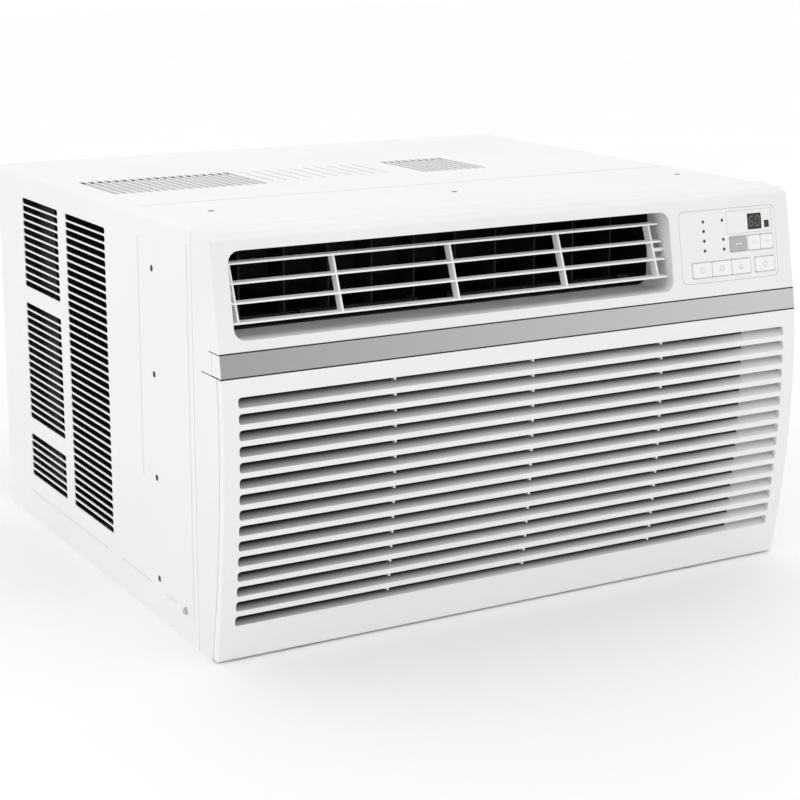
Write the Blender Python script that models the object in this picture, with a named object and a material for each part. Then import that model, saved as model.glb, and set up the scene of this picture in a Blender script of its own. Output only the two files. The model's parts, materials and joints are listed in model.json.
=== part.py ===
"""Window air conditioner, built as an assembly of separate pieces.

Metres, +Z up. The origin is the middle of the base, and the front faces -Y.
"""

import math

import bmesh
import bpy
from mathutils import Matrix, Vector

# ---------------------------------------------------------------- driving dimensions
WIDTH = 0.600
HEIGHT = 0.365
DEPTH = 0.560
HALF_W = WIDTH / 2
REAR_Y = DEPTH / 2
CREST_DEPTH = 0.059                       # how far the front bulges out of the cabinet
CABINET_FRONT_Y = CREST_DEPTH - DEPTH / 2

GAP = 0.0003                              # between pieces that touch
SHEET = 0.001                             # cabinet steel
PAN_SHEET = 0.0012
WALL = 0.0025                             # moulded plastic
SEAM = 0.0006                             # cabinet to front moulding

# front face: a bulge below, and a straight lean above LEAN_Z
CREST_Z = 0.205
LEAN_Z = 0.270
LOWER_CURVE = 0.535
UPPER_CURVE = 1.35
LEAN_SLOPE = 2 * UPPER_CURVE * (LEAN_Z - CREST_Z)
FACE_TOP_Z = 0.3565
FACE_NORMAL = Vector((0.0, -1.0, LEAN_SLOPE)).normalized()

# trim band and intake grille
BAND_Z = (0.2500, 0.2690)
BAND_THICK = 0.003
BAND_RETURN_Y = -0.259
PANEL_Z = (0.0020, 0.2494)
PANEL_SETBACK = 0.009
SLOT_COUNT = 15
SLOT_PITCH = 0.01368
FIRST_SLAT_Z = 0.0330
SLAT_FACE = 0.0045
SLAT_RISE = 0.0077
SLAT_RUN = 0.0068
SLAT_THICK = 0.0015
SLOTS_X = (-0.286, 0.286)
BLIND_X = 0.239
RIBS_X = (-0.1395, 0.0005, 0.1415)
FILTER_X = (-0.2865, 0.2345)
FILTER_Z = (0.0325, 0.2400)
FILTER_DEPTH = (0.0100, 0.0122)
HINGE_Y = CABINET_FRONT_Y - 0.034
HINGE_Z = 0.0045
HINGES_X = (-0.22, 0.20)
HINGE_ROD_R = 0.0012
HINGE_BORE_R = 0.0016
RIM_RELIEF = 0.0045                       # the rim ends this far behind the hinge, to swing clear

INTAKE_X = (-0.288, 0.236)                # opening in the front moulding, behind the grille
INTAKE_Z = (0.030, 0.243)
LIP_Y = (CABINET_FRONT_Y - 0.003, CABINET_FRONT_Y + 0.0075)
LIP_THICK = 0.0016
LIP_TOP_THICK = 0.0031
LIP_CLEARANCE = 0.0005                    # lip to the inside of the cabinet

# discharge opening, louvre and vanes
MOUTH_X = (-0.285, 0.159)
MOUTH_Z = (0.2787, 0.3510)
MOUTH_RADIUS = 0.010
COLLAR_REAR_Y = -0.229
COLLAR_WALL = 0.0025
BLADE_COUNT = 4
BLADE_X = (-0.2825, 0.1565)
BLADE_TOP_Z = 0.3382
BLADE_PITCH = 0.01545
BLADE_FRONT_Y = -0.248
BLADE_STAGGER = 0.006
BLADE_CHORD = 0.010
BLADE_THICK = 0.0016
WEBS_X = (-0.278, -0.182, -0.068, 0.045, 0.146)
LOUVRE_AXIS = Vector((0.0, -0.252, 0.315))
LOUVRE_PIN_R = 0.002

DUCT_X = (-0.2885, 0.1625)
DUCT_Y = (-0.2287, -0.0620)
DUCT_Z = (0.2765, 0.3540)
DUCT_WALL = 0.0035

VANES_PER_SET = 5
VANE_PITCH = 0.042
VANE_SETS_X = (-0.260, -0.050)
VANE_PIVOT_Y = -0.212
VANE_Y = (-0.227, -0.197)
VANE_Z = (0.2830, 0.3475)
VANE_THICK = 0.0014
VANE_ARM = 0.009
VANE_PIN_R = 0.0015
VANE_HOLE_R = 0.0021
LINK_PIN_R = 0.0012
LINK_HOLE_R = 0.0018
LINK_HALF_WIDTH = 0.0035
LINK_Z = (0.2855, 0.2880)
LINK_TAB_X = (-0.200, 0.130)
LINK_TAB_TOP = 0.2905

# rotor: blower wheel in front, condenser fan behind, one shaft
ROTOR_X = -0.045
ROTOR_Z = 0.150
SHAFT_R = 0.006
SHAFT_Y = (-0.150, 0.142)
WHEEL_R = 0.095
WHEEL_Y = (-0.149, -0.074)
WHEEL_BLADES = 20
SCROLL_Y = (-0.152, -0.062)
SCROLL_R = (0.106, 0.134)
FAN_R = 0.136
FAN_Y = (0.108, 0.134)
FAN_BLADES = 5
MOTOR_Y = (-0.044, 0.044)
MOTOR_R = 0.050

# chassis
PAN_X = 0.290
PAN_Y = (-0.2122, 0.2720)
PAN_Z = (0.0015, 0.0345)
FLOOR_Z = PAN_Z[0] + PAN_SHEET
EVAPORATOR = ((-0.272, 0.190), (-0.208, -0.166), (0.0410, 0.2620))
CONDENSER = ((-0.283, 0.283), (0.212, 0.256), (0.0060, 0.3500))
BULKHEAD_Y = (-0.0585, -0.0570)
SHROUD_Y = (0.1500, 0.2100)
COMPRESSOR = Vector((0.195, 0.045, 0.0))
COMPRESSOR_R = 0.058
PIPE_R = {"suction": 0.0045, "discharge": 0.0035, "liquid": 0.0025}

# vents in the cabinet: slots in columns on the sides, in rows on the top
VENT_PITCH = 0.00769
VENT_SLOT = 0.0061
VENT_TOP_Z = 0.3395
REAR_VENTS = ((0, 12), (14, 16), (32, 6))
FRONT_VENT_Y = (-0.025, 0.080)
REAR_VENT_Y = (0.101, 0.205)
FRONT_VENT_COUNT = 38
TOP_VENT_Y = (0.004, 0.101)
TOP_VENT_PITCH = 0.00843
TOP_VENTS = ((-0.278, 19), (0.055, 9))
SLIT_Y = (0.018, 0.098)
SLIT_X = (-0.108, 0.0205)
SLIT_COUNT = 10
SLIT_WIDTH = 0.0016
SCREW_HOLE_R = 0.0025
SCREW_LINE_Y = CABINET_FRONT_Y + 0.0855
SIDE_SCREWS_Z = (0.0385, 0.1320, 0.2255, 0.3195)
TOP_SCREWS_X = (-0.243, 0.005, 0.265)

# control panel, on the leaning part of the face
OVERLAY_X = (0.1700, 0.2835)
OVERLAY_Z = (0.2830, 0.3490)
OVERLAY_THICK = 0.0008
OVERLAY_RADIUS = 0.006
DISPLAY = ((0.2507, 0.2670), (0.3280, 0.3424))
IR_EYE = ((0.2706, 0.2760), (0.3288, 0.3350))
KEYS = {
    "key_mode": ((0.2280, 0.2475), (0.3089, 0.3222)),
    "key_temp_down": ((0.2490, 0.2637), (0.3089, 0.3222)),
    "key_temp_up": ((0.2643, 0.2790), (0.3089, 0.3222)),
    "key_timer": ((0.1820, 0.2042), (0.2881, 0.3013)),
    "key_fan_speed": ((0.2048, 0.2274), (0.2881, 0.3013)),
    "key_energy_saver": ((0.2280, 0.2500), (0.2881, 0.3013)),
    "key_power": ((0.2563, 0.2790), (0.2881, 0.3013)),
}
KEY_CLEARANCE = 0.00035
KEY_PROUD = 0.0006
KEY_DEEP = 0.0040
KEY_RADIUS = 0.0012
STEM_R = 0.002
LEDS = (
    (0.1980, 0.3387), (0.1980, 0.3300), (0.1980, 0.3210), (0.1980, 0.3120),
    (0.2205, 0.3387), (0.2205, 0.3210), (0.2205, 0.3120),
)
LED_R = 0.0013
LED_CLEARANCE = 0.00035
BOARD_DEPTH = (0.0065, 0.0081)
BOARD_X = (0.1720, 0.2820)
BOARD_Z = (0.2835, 0.3460)
SWITCH_HALF = 0.003


def face_depth(z):
    """How far the front face stands out of the cabinet at height z."""
    if z < CREST_Z:
        return CREST_DEPTH - LOWER_CURVE * (CREST_Z - z) ** 2
    bend = min(z, LEAN_Z) - CREST_Z
    straight = max(z - LEAN_Z, 0.0)
    return CREST_DEPTH - UPPER_CURVE * bend ** 2 - LEAN_SLOPE * straight


def face_y(z, inset=0.0):
    return CABINET_FRONT_Y - face_depth(z) + inset


def spread(low, high, count):
    """Evenly spaced values from low to high, both ends included."""
    return [low + (high - low) * i / (count - 1) for i in range(count)]


# ---------------------------------------------------------------- mesh helpers
def add_loops(bm, lower, upper):
    """Close two matching loops of points into a prism."""
    low = [bm.verts.new(p) for p in lower]
    high = [bm.verts.new(p) for p in upper]
    bm.faces.new(low)
    bm.faces.new(reversed(high))
    for i in range(len(low)):
        j = (i + 1) % len(low)
        bm.faces.new((low[j], low[i], high[i], high[j]))


def in_space(axis, along, u, v):
    """A point from its place along an axis and its two other coordinates, in XYZ order."""
    return {"X": (along, u, v), "Y": (u, along, v), "Z": (u, v, along)}[axis]


def finish(bm):
    bmesh.ops.recalc_face_normals(bm, faces=bm.faces)
    return bm


def prism(outline, axis, low, high):
    """An outline of (u, v) points, swept along an axis."""
    bm = bmesh.new()
    add_loops(bm, [in_space(axis, low, u, v) for u, v in outline],
              [in_space(axis, high, u, v) for u, v in outline])
    return finish(bm)


def box(x, y, z):
    return prism(rectangle(x, y), "Z", *z)


def circle(centre, radius, sides):
    step = math.tau / sides
    return [(centre[0] + radius * math.cos(i * step),
             centre[1] + radius * math.sin(i * step)) for i in range(sides)]


def rectangle(u, v):
    return [(u[0], v[0]), (u[1], v[0]), (u[1], v[1]), (u[0], v[1])]


def cylinder(axis, centre, radius, low, high, sides=16):
    return prism(circle(centre, radius, sides), axis, low, high)


def rounded_rect(u, v, radius, steps=4):
    """A rectangle with rounded corners, as (u, v) points."""
    corners = ((u[1], v[1], 0), (u[0], v[1], 1), (u[0], v[0], 2), (u[1], v[0], 3))
    points = []
    for cu, cv, quarter in corners:
        mid_u = cu - math.copysign(radius, cu - (u[0] + u[1]) / 2)
        mid_v = cv - math.copysign(radius, cv - (v[0] + v[1]) / 2)
        for i in range(steps + 1):
            angle = (quarter + i / steps) * math.pi / 2
            points.append((mid_u + radius * math.cos(angle), mid_v + radius * math.sin(angle)))
    return points


def joined(*shapes):
    """Several closed shapes in one mesh."""
    whole = bmesh.new()
    for shape in shapes:
        mesh = bpy.data.meshes.new("piece")
        shape.to_mesh(mesh)
        shape.free()
        whole.from_mesh(mesh)
        bpy.data.meshes.remove(mesh)
    return whole


def revolved(outline, axis_x, axis_y, sides):
    """A solid of revolution about a vertical axis, from (radius, z) points off the axis."""
    bm = bmesh.new()
    rings = []
    for i in range(sides):
        angle = math.tau * i / sides
        rings.append([bm.verts.new((axis_x + r * math.cos(angle), axis_y + r * math.sin(angle), z))
                      for r, z in outline])
    for i, ring in enumerate(rings):
        following = rings[(i + 1) % sides]
        for j in range(len(outline) - 1):
            bm.faces.new((ring[j], following[j], following[j + 1], ring[j + 1]))
    bm.faces.new([ring[0] for ring in reversed(rings)])
    bm.faces.new([ring[-1] for ring in rings])
    return finish(bm)


def face_point(x, z, lift):
    """A point at x and height z, lifted off the leaning part of the front face."""
    return Vector((x, face_y(z), z)) + lift * FACE_NORMAL


def face_prism(outline, low, high):
    """An outline of (x, z) points on the leaning face, swept along the face's normal."""
    bm = bmesh.new()
    add_loops(bm, [face_point(x, z, low) for x, z in outline],
              [face_point(x, z, high) for x, z in outline])
    return finish(bm)


def face_strip(heights, front, back, x):
    """A strip that follows the front face, between two insets behind it."""
    outline = [(face_y(z, front), z) for z in heights]
    outline += [(face_y(z, back), z) for z in reversed(heights)]
    return prism(outline, "X", *x)


# ---------------------------------------------------------------- object helpers
def make_material(name, colour, roughness, metallic=0.0):
    mat = bpy.data.materials.new(name)
    mat.use_nodes = True
    shader = mat.node_tree.nodes["Principled BSDF"]
    shader.inputs["Base Color"].default_value = (*colour, 1.0)
    shader.inputs["Roughness"].default_value = roughness
    shader.inputs["Metallic"].default_value = metallic
    mat.diffuse_color = (*colour, 1.0)
    return mat


def place(name, bm):
    mesh = bpy.data.meshes.new(name)
    bm.to_mesh(mesh)
    bm.free()
    obj = bpy.data.objects.new(name, mesh)
    bpy.context.scene.collection.objects.link(obj)
    return obj


def part(name, look, base, *steps, origin=None, parent=None):
    """One node: a base shape, then ("UNION" or "DIFFERENCE", shape) steps in order."""
    obj = place(name, base)
    obj.data.materials.append(make_material(name, *look))
    for number, (operation, shape) in enumerate(steps, 1):
        tool = place(f"{name}_tool_{number}", shape)
        tool.hide_render = True
        tool.display_type = "WIRE"
        tool.hide_set(True)
        boolean = obj.modifiers.new(f"{operation} {number}", "BOOLEAN")
        boolean.operation = operation
        boolean.solver = "EXACT"
        boolean.use_self = operation == "UNION"
        boolean.object = tool
    if origin is not None:
        obj.data.transform(Matrix.Translation(-Vector(origin)))
        obj.location = origin
    if parent is not None:
        obj.parent = parent
        obj.matrix_parent_inverse = Matrix.Translation(-parent.location)
    return obj


def empty(name, location):
    marker = bpy.data.objects.new(name, None)
    marker.empty_display_size = 0.02
    marker.location = location
    bpy.context.scene.collection.objects.link(marker)
    return marker


def tube(name, look, points, radius):
    """A pipe along hand-placed points."""
    curve = bpy.data.curves.new(name, "CURVE")
    curve.dimensions = "3D"
    curve.bevel_depth = radius
    curve.bevel_resolution = 1
    curve.resolution_u = 1
    curve.use_fill_caps = True
    spline = curve.splines.new("POLY")
    spline.points.add(len(points) - 1)
    for target, point in zip(spline.points, points):
        target.co = (*point, 1.0)
    curve.materials.append(make_material(name, *look))
    obj = bpy.data.objects.new(name, curve)
    bpy.context.scene.collection.objects.link(obj)


# ---------------------------------------------------------------- looks
WHITE_STEEL = ((0.86, 0.87, 0.88), 0.38)
WHITE_PLASTIC = ((0.84, 0.85, 0.87), 0.42)
GREY_PLASTIC = ((0.55, 0.56, 0.58), 0.45)
PALE_OVERLAY = ((0.78, 0.80, 0.83), 0.35)
SILVER = ((0.46, 0.46, 0.47), 0.30, 0.6)
DARK_PLASTIC = ((0.03, 0.03, 0.032), 0.55)
FILTER_GREY = ((0.20, 0.22, 0.25), 0.70)
GALVANISED = ((0.55, 0.57, 0.58), 0.40, 0.9)
FIN_METAL = ((0.72, 0.74, 0.75), 0.35, 0.9)
COPPER = ((0.80, 0.42, 0.25), 0.30, 1.0)
BLACK_PAINT = ((0.025, 0.025, 0.028), 0.35)
FOAM = ((0.80, 0.80, 0.78), 0.85)
RUBBER = ((0.03, 0.03, 0.03), 0.80)
BOARD_GREEN = ((0.03, 0.16, 0.08), 0.50)
SMOKED = ((0.03, 0.035, 0.025), 0.12)
CLEAR_GREEN = ((0.35, 0.55, 0.35), 0.20)


# ---------------------------------------------------------------- cabinet
def side_vent_rows():
    """(y range, z of a slot's middle) for every slot in a side of the cabinet."""
    first = VENT_TOP_Z - VENT_SLOT / 2
    for row in range(FRONT_VENT_COUNT):
        yield FRONT_VENT_Y, first - row * VENT_PITCH
    for start, count in REAR_VENTS:
        for row in range(start, start + count):
            yield REAR_VENT_Y, first - row * VENT_PITCH


def side_cutters():
    """Slots and screw holes, cut through both sides at once."""
    through = (-HALF_W - 0.01, HALF_W + 0.01)
    slots = [box(through, y, (z - VENT_SLOT / 2, z + VENT_SLOT / 2)) for y, z in side_vent_rows()]
    holes = [cylinder("X", (SCREW_LINE_Y, z), SCREW_HOLE_R, *through, sides=8)
             for z in SIDE_SCREWS_Z]
    return joined(*slots, *holes)


def top_cutters():
    """Slots, narrow slits and screw holes in the cabinet's top."""
    through = (HEIGHT - 0.01, HEIGHT + 0.01)
    cuts = []
    for start, count in TOP_VENTS:
        for i in range(count):
            x = start + i * TOP_VENT_PITCH
            cuts.append(box((x, x + VENT_SLOT), TOP_VENT_Y, through))
    for x in spread(*SLIT_X, SLIT_COUNT):
        cuts.append(box((x - SLIT_WIDTH / 2, x + SLIT_WIDTH / 2), SLIT_Y, through))
    for x in TOP_SCREWS_X:
        cuts.append(cylinder("Z", (x, SCREW_LINE_Y), SCREW_HOLE_R, *through, sides=8))
    return joined(*cuts)


def build_cabinet():
    flange = 0.012
    edge_radius = 0.004
    inner = HALF_W - SHEET
    shell = [(-HALF_W, 0.0)]
    for quarter, centre_x in ((1, -HALF_W + edge_radius), (0, HALF_W - edge_radius)):
        for i in range(4):
            angle = (quarter + 1 - i / 3) * math.pi / 2
            shell.append((centre_x + edge_radius * math.cos(angle),
                          HEIGHT - edge_radius + edge_radius * math.sin(angle)))
    shell.append((HALF_W, 0.0))
    part("cabinet_sleeve", WHITE_STEEL,
         prism(shell, "Y", CABINET_FRONT_Y, REAR_Y),
         ("DIFFERENCE", box((-inner, inner), (CABINET_FRONT_Y - 0.01, REAR_Y - SHEET),
                            (-0.01, HEIGHT - SHEET))),
         ("DIFFERENCE", box((flange - HALF_W, HALF_W - flange), (REAR_Y - 0.01, REAR_Y + 0.01),
                            (-0.02, HEIGHT - flange))),
         ("DIFFERENCE", side_cutters()),
         ("DIFFERENCE", top_cutters()))

    base_x = inner - GAP
    flange_top = 0.022
    base_y = (PAN_Y[0] - GAP, REAR_Y - SHEET - GAP)
    part("cabinet_base", GALVANISED,
         box((-base_x, base_x), base_y, (0.0, flange_top)),
         ("DIFFERENCE", box((PAN_SHEET - base_x, base_x - PAN_SHEET),
                            (base_y[0] - 0.01, base_y[1] + 0.01), (PAN_SHEET, 0.03))))


# ---------------------------------------------------------------- front moulding
def front_outline():
    """Side view of the front moulding: full face above, stepped back behind band and panel."""
    rear_y = CABINET_FRONT_Y - SEAM
    corner_r = 0.005
    corner = (face_y(FACE_TOP_Z) + corner_r, FACE_TOP_Z)
    outline = [(rear_y, 0.0), (rear_y, HEIGHT), (CABINET_FRONT_Y - 0.028, HEIGHT - 0.0015)]
    for i in range(4):
        angle = math.pi / 2 + i / 3 * math.pi / 2
        outline.append((corner[0] + corner_r * math.cos(angle),
                        corner[1] + corner_r * math.sin(angle)))
    for z in (LEAN_Z, BAND_Z[1] + GAP):
        outline.append((face_y(z), z))
    ledge = BAND_THICK + GAP
    for z in (BAND_Z[1] + GAP, BAND_Z[0] - GAP):
        outline.append((face_y(z, ledge), z))
    seat = PANEL_SETBACK + GAP
    for z in spread(BAND_Z[0] - GAP, 0.0, 9):
        outline.append((face_y(z, seat), z))
    return outline


def front_hollow():
    """The inside of the front moulding, a wall's thickness behind its outline."""
    rear_y = CABINET_FRONT_Y + 0.02
    outline = [(rear_y, WALL), (rear_y, HEIGHT - 0.0015 - WALL),
               (CABINET_FRONT_Y - 0.028, HEIGHT - 0.003 - WALL)]
    for z in (FACE_TOP_Z - 0.001, LEAN_Z, BAND_Z[1] + GAP + WALL):
        outline.append((face_y(z, WALL), z))
    outline.append((face_y(BAND_Z[1], BAND_THICK + GAP + WALL), BAND_Z[1] - 0.001))
    outline.append((face_y(BAND_Z[0], BAND_THICK + GAP + WALL), BAND_Z[0] + 0.003))
    for z in spread(BAND_Z[0] - 0.001, WALL, 8):
        outline.append((face_y(z, PANEL_SETBACK + GAP + WALL), z))
    inner = HALF_W - WALL
    return prism(outline, "X", -inner, inner)


def discharge_collar():
    """The wall around the discharge opening, ahead of the air duct."""
    x = (MOUTH_X[0] - COLLAR_WALL, MOUTH_X[1] + COLLAR_WALL)
    low, high = MOUTH_Z[0] - COLLAR_WALL, MOUTH_Z[1] + COLLAR_WALL
    sunk = WALL / 2
    outline = [(COLLAR_REAR_Y, low), (COLLAR_REAR_Y, high),
               (face_y(high, sunk), high), (face_y(low, sunk), low)]
    return prism(outline, "X", *x)


def front_lip():
    """The lip that enters the cabinet."""
    outer_x = HALF_W - SHEET - LIP_CLEARANCE
    outer_z = (0.0016, HEIGHT - SHEET - LIP_CLEARANCE)
    sides = [box(sorted((s * outer_x, s * (outer_x - LIP_THICK))), LIP_Y, outer_z)
             for s in (-1, 1)]
    top = box((-outer_x, outer_x), LIP_Y, (outer_z[1] - LIP_TOP_THICK, outer_z[1]))
    return joined(*sides, top)


def hinge_fingers():
    """Fingers and rods under the intake grille, which it turns on."""
    shapes = []
    for x in HINGES_X:
        shapes.append(box((x - 0.003, x + 0.003), (HINGE_Y, CABINET_FRONT_Y - 0.020),
                          (HINGE_Z - HINGE_ROD_R, HINGE_Z + HINGE_ROD_R)))
        shapes.append(cylinder("X", (HINGE_Y, HINGE_Z), HINGE_ROD_R, x - 0.003, x + 0.0102,
                               sides=12))
    return joined(*shapes)


def grown(rect, by):
    (x0, x1), (z0, z1) = rect
    return (x0 - by, x1 + by), (z0 - by, z1 + by)


def control_windows(by, low, high):
    """Openings for the keys, lens, infrared eye and lights, grown by a clearance."""
    cuts = []
    for rect in (*KEYS.values(), DISPLAY, IR_EYE):
        cuts.append(face_prism(rectangle(*grown(rect, by)), low, high))
    for spot in LEDS:
        cuts.append(face_prism(circle(spot, LED_R + LED_CLEARANCE, 8), low, high))
    return joined(*cuts)


def merged_control_windows(low, high):
    """Openings behind the overlay, one for each group of keys that sit side by side."""
    groups = (("key_mode", "key_temp_up"), ("key_timer", "key_energy_saver"),
              ("key_power", "key_power"))
    windows = [((KEYS[first][0][0], KEYS[last][0][1]), KEYS[first][1]) for first, last in groups]
    cuts = [face_prism(rectangle(*grown(rect, KEY_CLEARANCE)), low, high)
            for rect in (*windows, DISPLAY, IR_EYE)]
    for spot in LEDS:
        cuts.append(face_prism(circle(spot, LED_R + 0.0005, 8), low, high))
    return joined(*cuts)


def build_front():
    intake = box(INTAKE_X, (-0.30, CABINET_FRONT_Y - 0.002), INTAKE_Z)
    side_notch = joined(*[
        box(sorted((s * (HALF_W + 0.01), s * (HALF_W - WALL - 0.001))), (-0.30, BAND_RETURN_Y + GAP),
            (BAND_Z[0] - GAP, BAND_Z[1] + GAP)) for s in (-1, 1)])
    mouth = prism(rounded_rect(MOUTH_X, MOUTH_Z, MOUTH_RADIUS), "Y", -0.30, -0.2)
    recess = face_prism(rounded_rect(*grown((OVERLAY_X, OVERLAY_Z), GAP), OVERLAY_RADIUS, 3),
                        -OVERLAY_THICK - GAP, 0.004)
    part("front_bezel", WHITE_PLASTIC,
         prism(front_outline(), "X", -HALF_W, HALF_W),
         ("DIFFERENCE", front_hollow()),
         ("UNION", discharge_collar()),
         ("UNION", front_lip()),
         ("UNION", hinge_fingers()),
         ("DIFFERENCE", joined(intake, side_notch)),
         ("DIFFERENCE", mouth),
         ("DIFFERENCE", recess),
         ("DIFFERENCE", merged_control_windows(-0.006, 0.002)),
         ("DIFFERENCE", joined(cylinder("X", LOUVRE_AXIS.yz, LOUVRE_PIN_R + 0.0005,
                                        MOUTH_X[0] - 0.006, MOUTH_X[0] + 0.002, sides=12),
                               cylinder("X", LOUVRE_AXIS.yz, LOUVRE_PIN_R + 0.0005,
                                        MOUTH_X[1] - 0.002, MOUTH_X[1] + 0.006, sides=12))))

    heights = spread(*BAND_Z, 3)
    returns = [box(sorted((s * HALF_W, s * (HALF_W - WALL + GAP))),
                   (face_y(BAND_Z[0], 0.0025), BAND_RETURN_Y), BAND_Z) for s in (-1, 1)]
    part("trim_band", SILVER,
         face_strip(heights, 0.0, BAND_THICK, (-HALF_W, HALF_W)),
         ("UNION", joined(*returns)))


def slat_edges():
    """Bottom and top of each slat's face, from the lowest slat up."""
    for i in range(SLOT_COUNT - 1):
        low = FIRST_SLAT_Z + SLOT_PITCH * (i + 1) - SLAT_FACE
        yield low, low + SLAT_FACE


def slats():
    """Slats with an upright face and a top that slopes up and back under the next one."""
    shapes = []
    for low, high in [(FIRST_SLAT_Z - 0.004, FIRST_SLAT_Z), *slat_edges()]:
        back_y, back_z = face_y(high, SLAT_RUN), high + SLAT_RISE
        outline = [(face_y(low), low), (face_y(high), high), (back_y, back_z),
                   (back_y, back_z - SLAT_THICK), (face_y(high, SLAT_THICK + 0.0004),
                                                   high - SLAT_THICK),
                   (face_y(low, SLAT_THICK), low)]
        shapes.append(prism(outline, "X", SLOTS_X[0] - 0.0005, SLOTS_X[1] + 0.0005))
    return joined(*shapes)


def panel_rows():
    """Heights where the panel's face bends: each slat's edges, and the plain ends."""
    rows = [PANEL_Z[0], 0.012, FIRST_SLAT_Z - 0.004, FIRST_SLAT_Z]
    for low, high in slat_edges():
        rows += [low, high]
    return rows + [slots_top(), PANEL_Z[1]]


def slots_top():
    return FIRST_SLAT_Z + SLOT_PITCH * SLOT_COUNT - SLAT_FACE


def build_intake_grille(pivot):
    rows = panel_rows()
    wide = HALF_W - GAP
    inner = wide - WALL
    hollow_rows = spread(PANEL_Z[0] + 0.0015, PANEL_Z[1] - WALL, 10)
    backing_rows = spread(FIRST_SLAT_Z - 0.003, slots_top() + 0.003, 9)
    ribs = [face_strip(backing_rows, SLAT_RUN - 0.0005, SLAT_RUN + 0.0015, (x - 0.0008, x + 0.0008))
            for x in RIBS_X]
    blind = face_strip(backing_rows, SLAT_RUN - 0.0005, SLAT_RUN + 0.001,
                       (BLIND_X, SLOTS_X[1] + 0.001))
    ends = [face_strip(backing_rows, 0.001, SLAT_RUN + 0.001, x)
            for x in ((SLOTS_X[0] - 0.0016, SLOTS_X[0]), (SLOTS_X[1], SLOTS_X[1] + 0.0016))]
    notches = [box((x - 0.0045, x + 0.0045), (HINGE_Y - 0.0019, -0.2), (-0.01, 0.014))
               for x in HINGES_X]
    lugs = [box((x + 0.005, x + 0.008), (face_y(0.006, 0.001), HINGE_Y + 0.0045),
                (PANEL_Z[0] + 0.0005, HINGE_Z + 0.0045)) for x in HINGES_X]
    bores = [cylinder("X", (HINGE_Y, HINGE_Z), HINGE_BORE_R, x + 0.004, x + 0.0105, sides=12)
             for x in HINGES_X]
    relief = box((-wide - 0.01, wide + 0.01), (HINGE_Y + RIM_RELIEF, -0.2), (-0.01, HINGE_Z))
    part("intake_grille", WHITE_PLASTIC,
         face_strip(rows, 0.0, PANEL_SETBACK, (-wide, wide)),
         ("DIFFERENCE", face_strip(hollow_rows, WALL, 0.03, (-inner, inner))),
         ("DIFFERENCE", box(SLOTS_X, (-0.30, -0.23), (FIRST_SLAT_Z - 0.002, slots_top()))),
         ("UNION", joined(slats(), *ribs, blind, *ends)),
         ("DIFFERENCE", joined(*notches)),
         ("DIFFERENCE", relief),
         ("UNION", joined(*lugs)),
         ("DIFFERENCE", joined(*bores)),
         origin=pivot.location, parent=pivot)

    filter_rows = spread(*FILTER_Z, 9)
    frame = 0.007
    bay_rows = spread(FILTER_Z[0] + frame, FILTER_Z[1] - frame, 9)
    bays = []
    for x in ((FILTER_X[0] + frame, -0.028), (-0.024, FILTER_X[1] - frame)):
        for front, back in ((FILTER_DEPTH[0] - 0.001, FILTER_DEPTH[0] + 0.0007),
                            (FILTER_DEPTH[1] - 0.0007, FILTER_DEPTH[1] + 0.001)):
            bays.append(face_strip(bay_rows, front, back, x))
    part("air_filter", FILTER_GREY,
         face_strip(filter_rows, *FILTER_DEPTH, FILTER_X),
         ("DIFFERENCE", joined(*bays)),
         origin=pivot.location, parent=pivot)


# ---------------------------------------------------------------- louvre, vanes and duct
def build_louvre():
    blades = []
    for i in range(BLADE_COUNT):
        z = BLADE_TOP_Z - i * BLADE_PITCH
        front = BLADE_FRONT_Y - i * BLADE_STAGGER
        blades.append(box(BLADE_X, (front, front + BLADE_CHORD),
                          (z - BLADE_THICK / 2, z + BLADE_THICK / 2)))
    bottom_z = BLADE_TOP_Z - (BLADE_COUNT - 1) * BLADE_PITCH
    bottom_front = BLADE_FRONT_Y - (BLADE_COUNT - 1) * BLADE_STAGGER
    inset = 0.0004
    side = [(BLADE_FRONT_Y + inset, BLADE_TOP_Z), (BLADE_FRONT_Y + BLADE_CHORD - inset, BLADE_TOP_Z),
            (bottom_front + BLADE_CHORD - inset, bottom_z), (bottom_front + inset, bottom_z)]
    webs = [prism(side, "X", x - 0.0008, x + 0.0008) for x in WEBS_X]
    pins = [cylinder("X", LOUVRE_AXIS.yz, LOUVRE_PIN_R, MOUTH_X[0] - COLLAR_WALL + 0.001,
                     WEBS_X[0], sides=12),
            cylinder("X", LOUVRE_AXIS.yz, LOUVRE_PIN_R, WEBS_X[-1],
                     MOUTH_X[1] + COLLAR_WALL - 0.001, sides=12)]
    part("louvre_frame", WHITE_PLASTIC, blades[0],
         ("UNION", joined(*blades[1:], *webs, *pins)), origin=LOUVRE_AXIS)


def vane_places():
    """(set name, number, x) of every upright vane."""
    for side, start in zip(("left", "right"), VANE_SETS_X):
        for number in range(VANES_PER_SET):
            yield side, number + 1, start + number * VANE_PITCH


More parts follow.
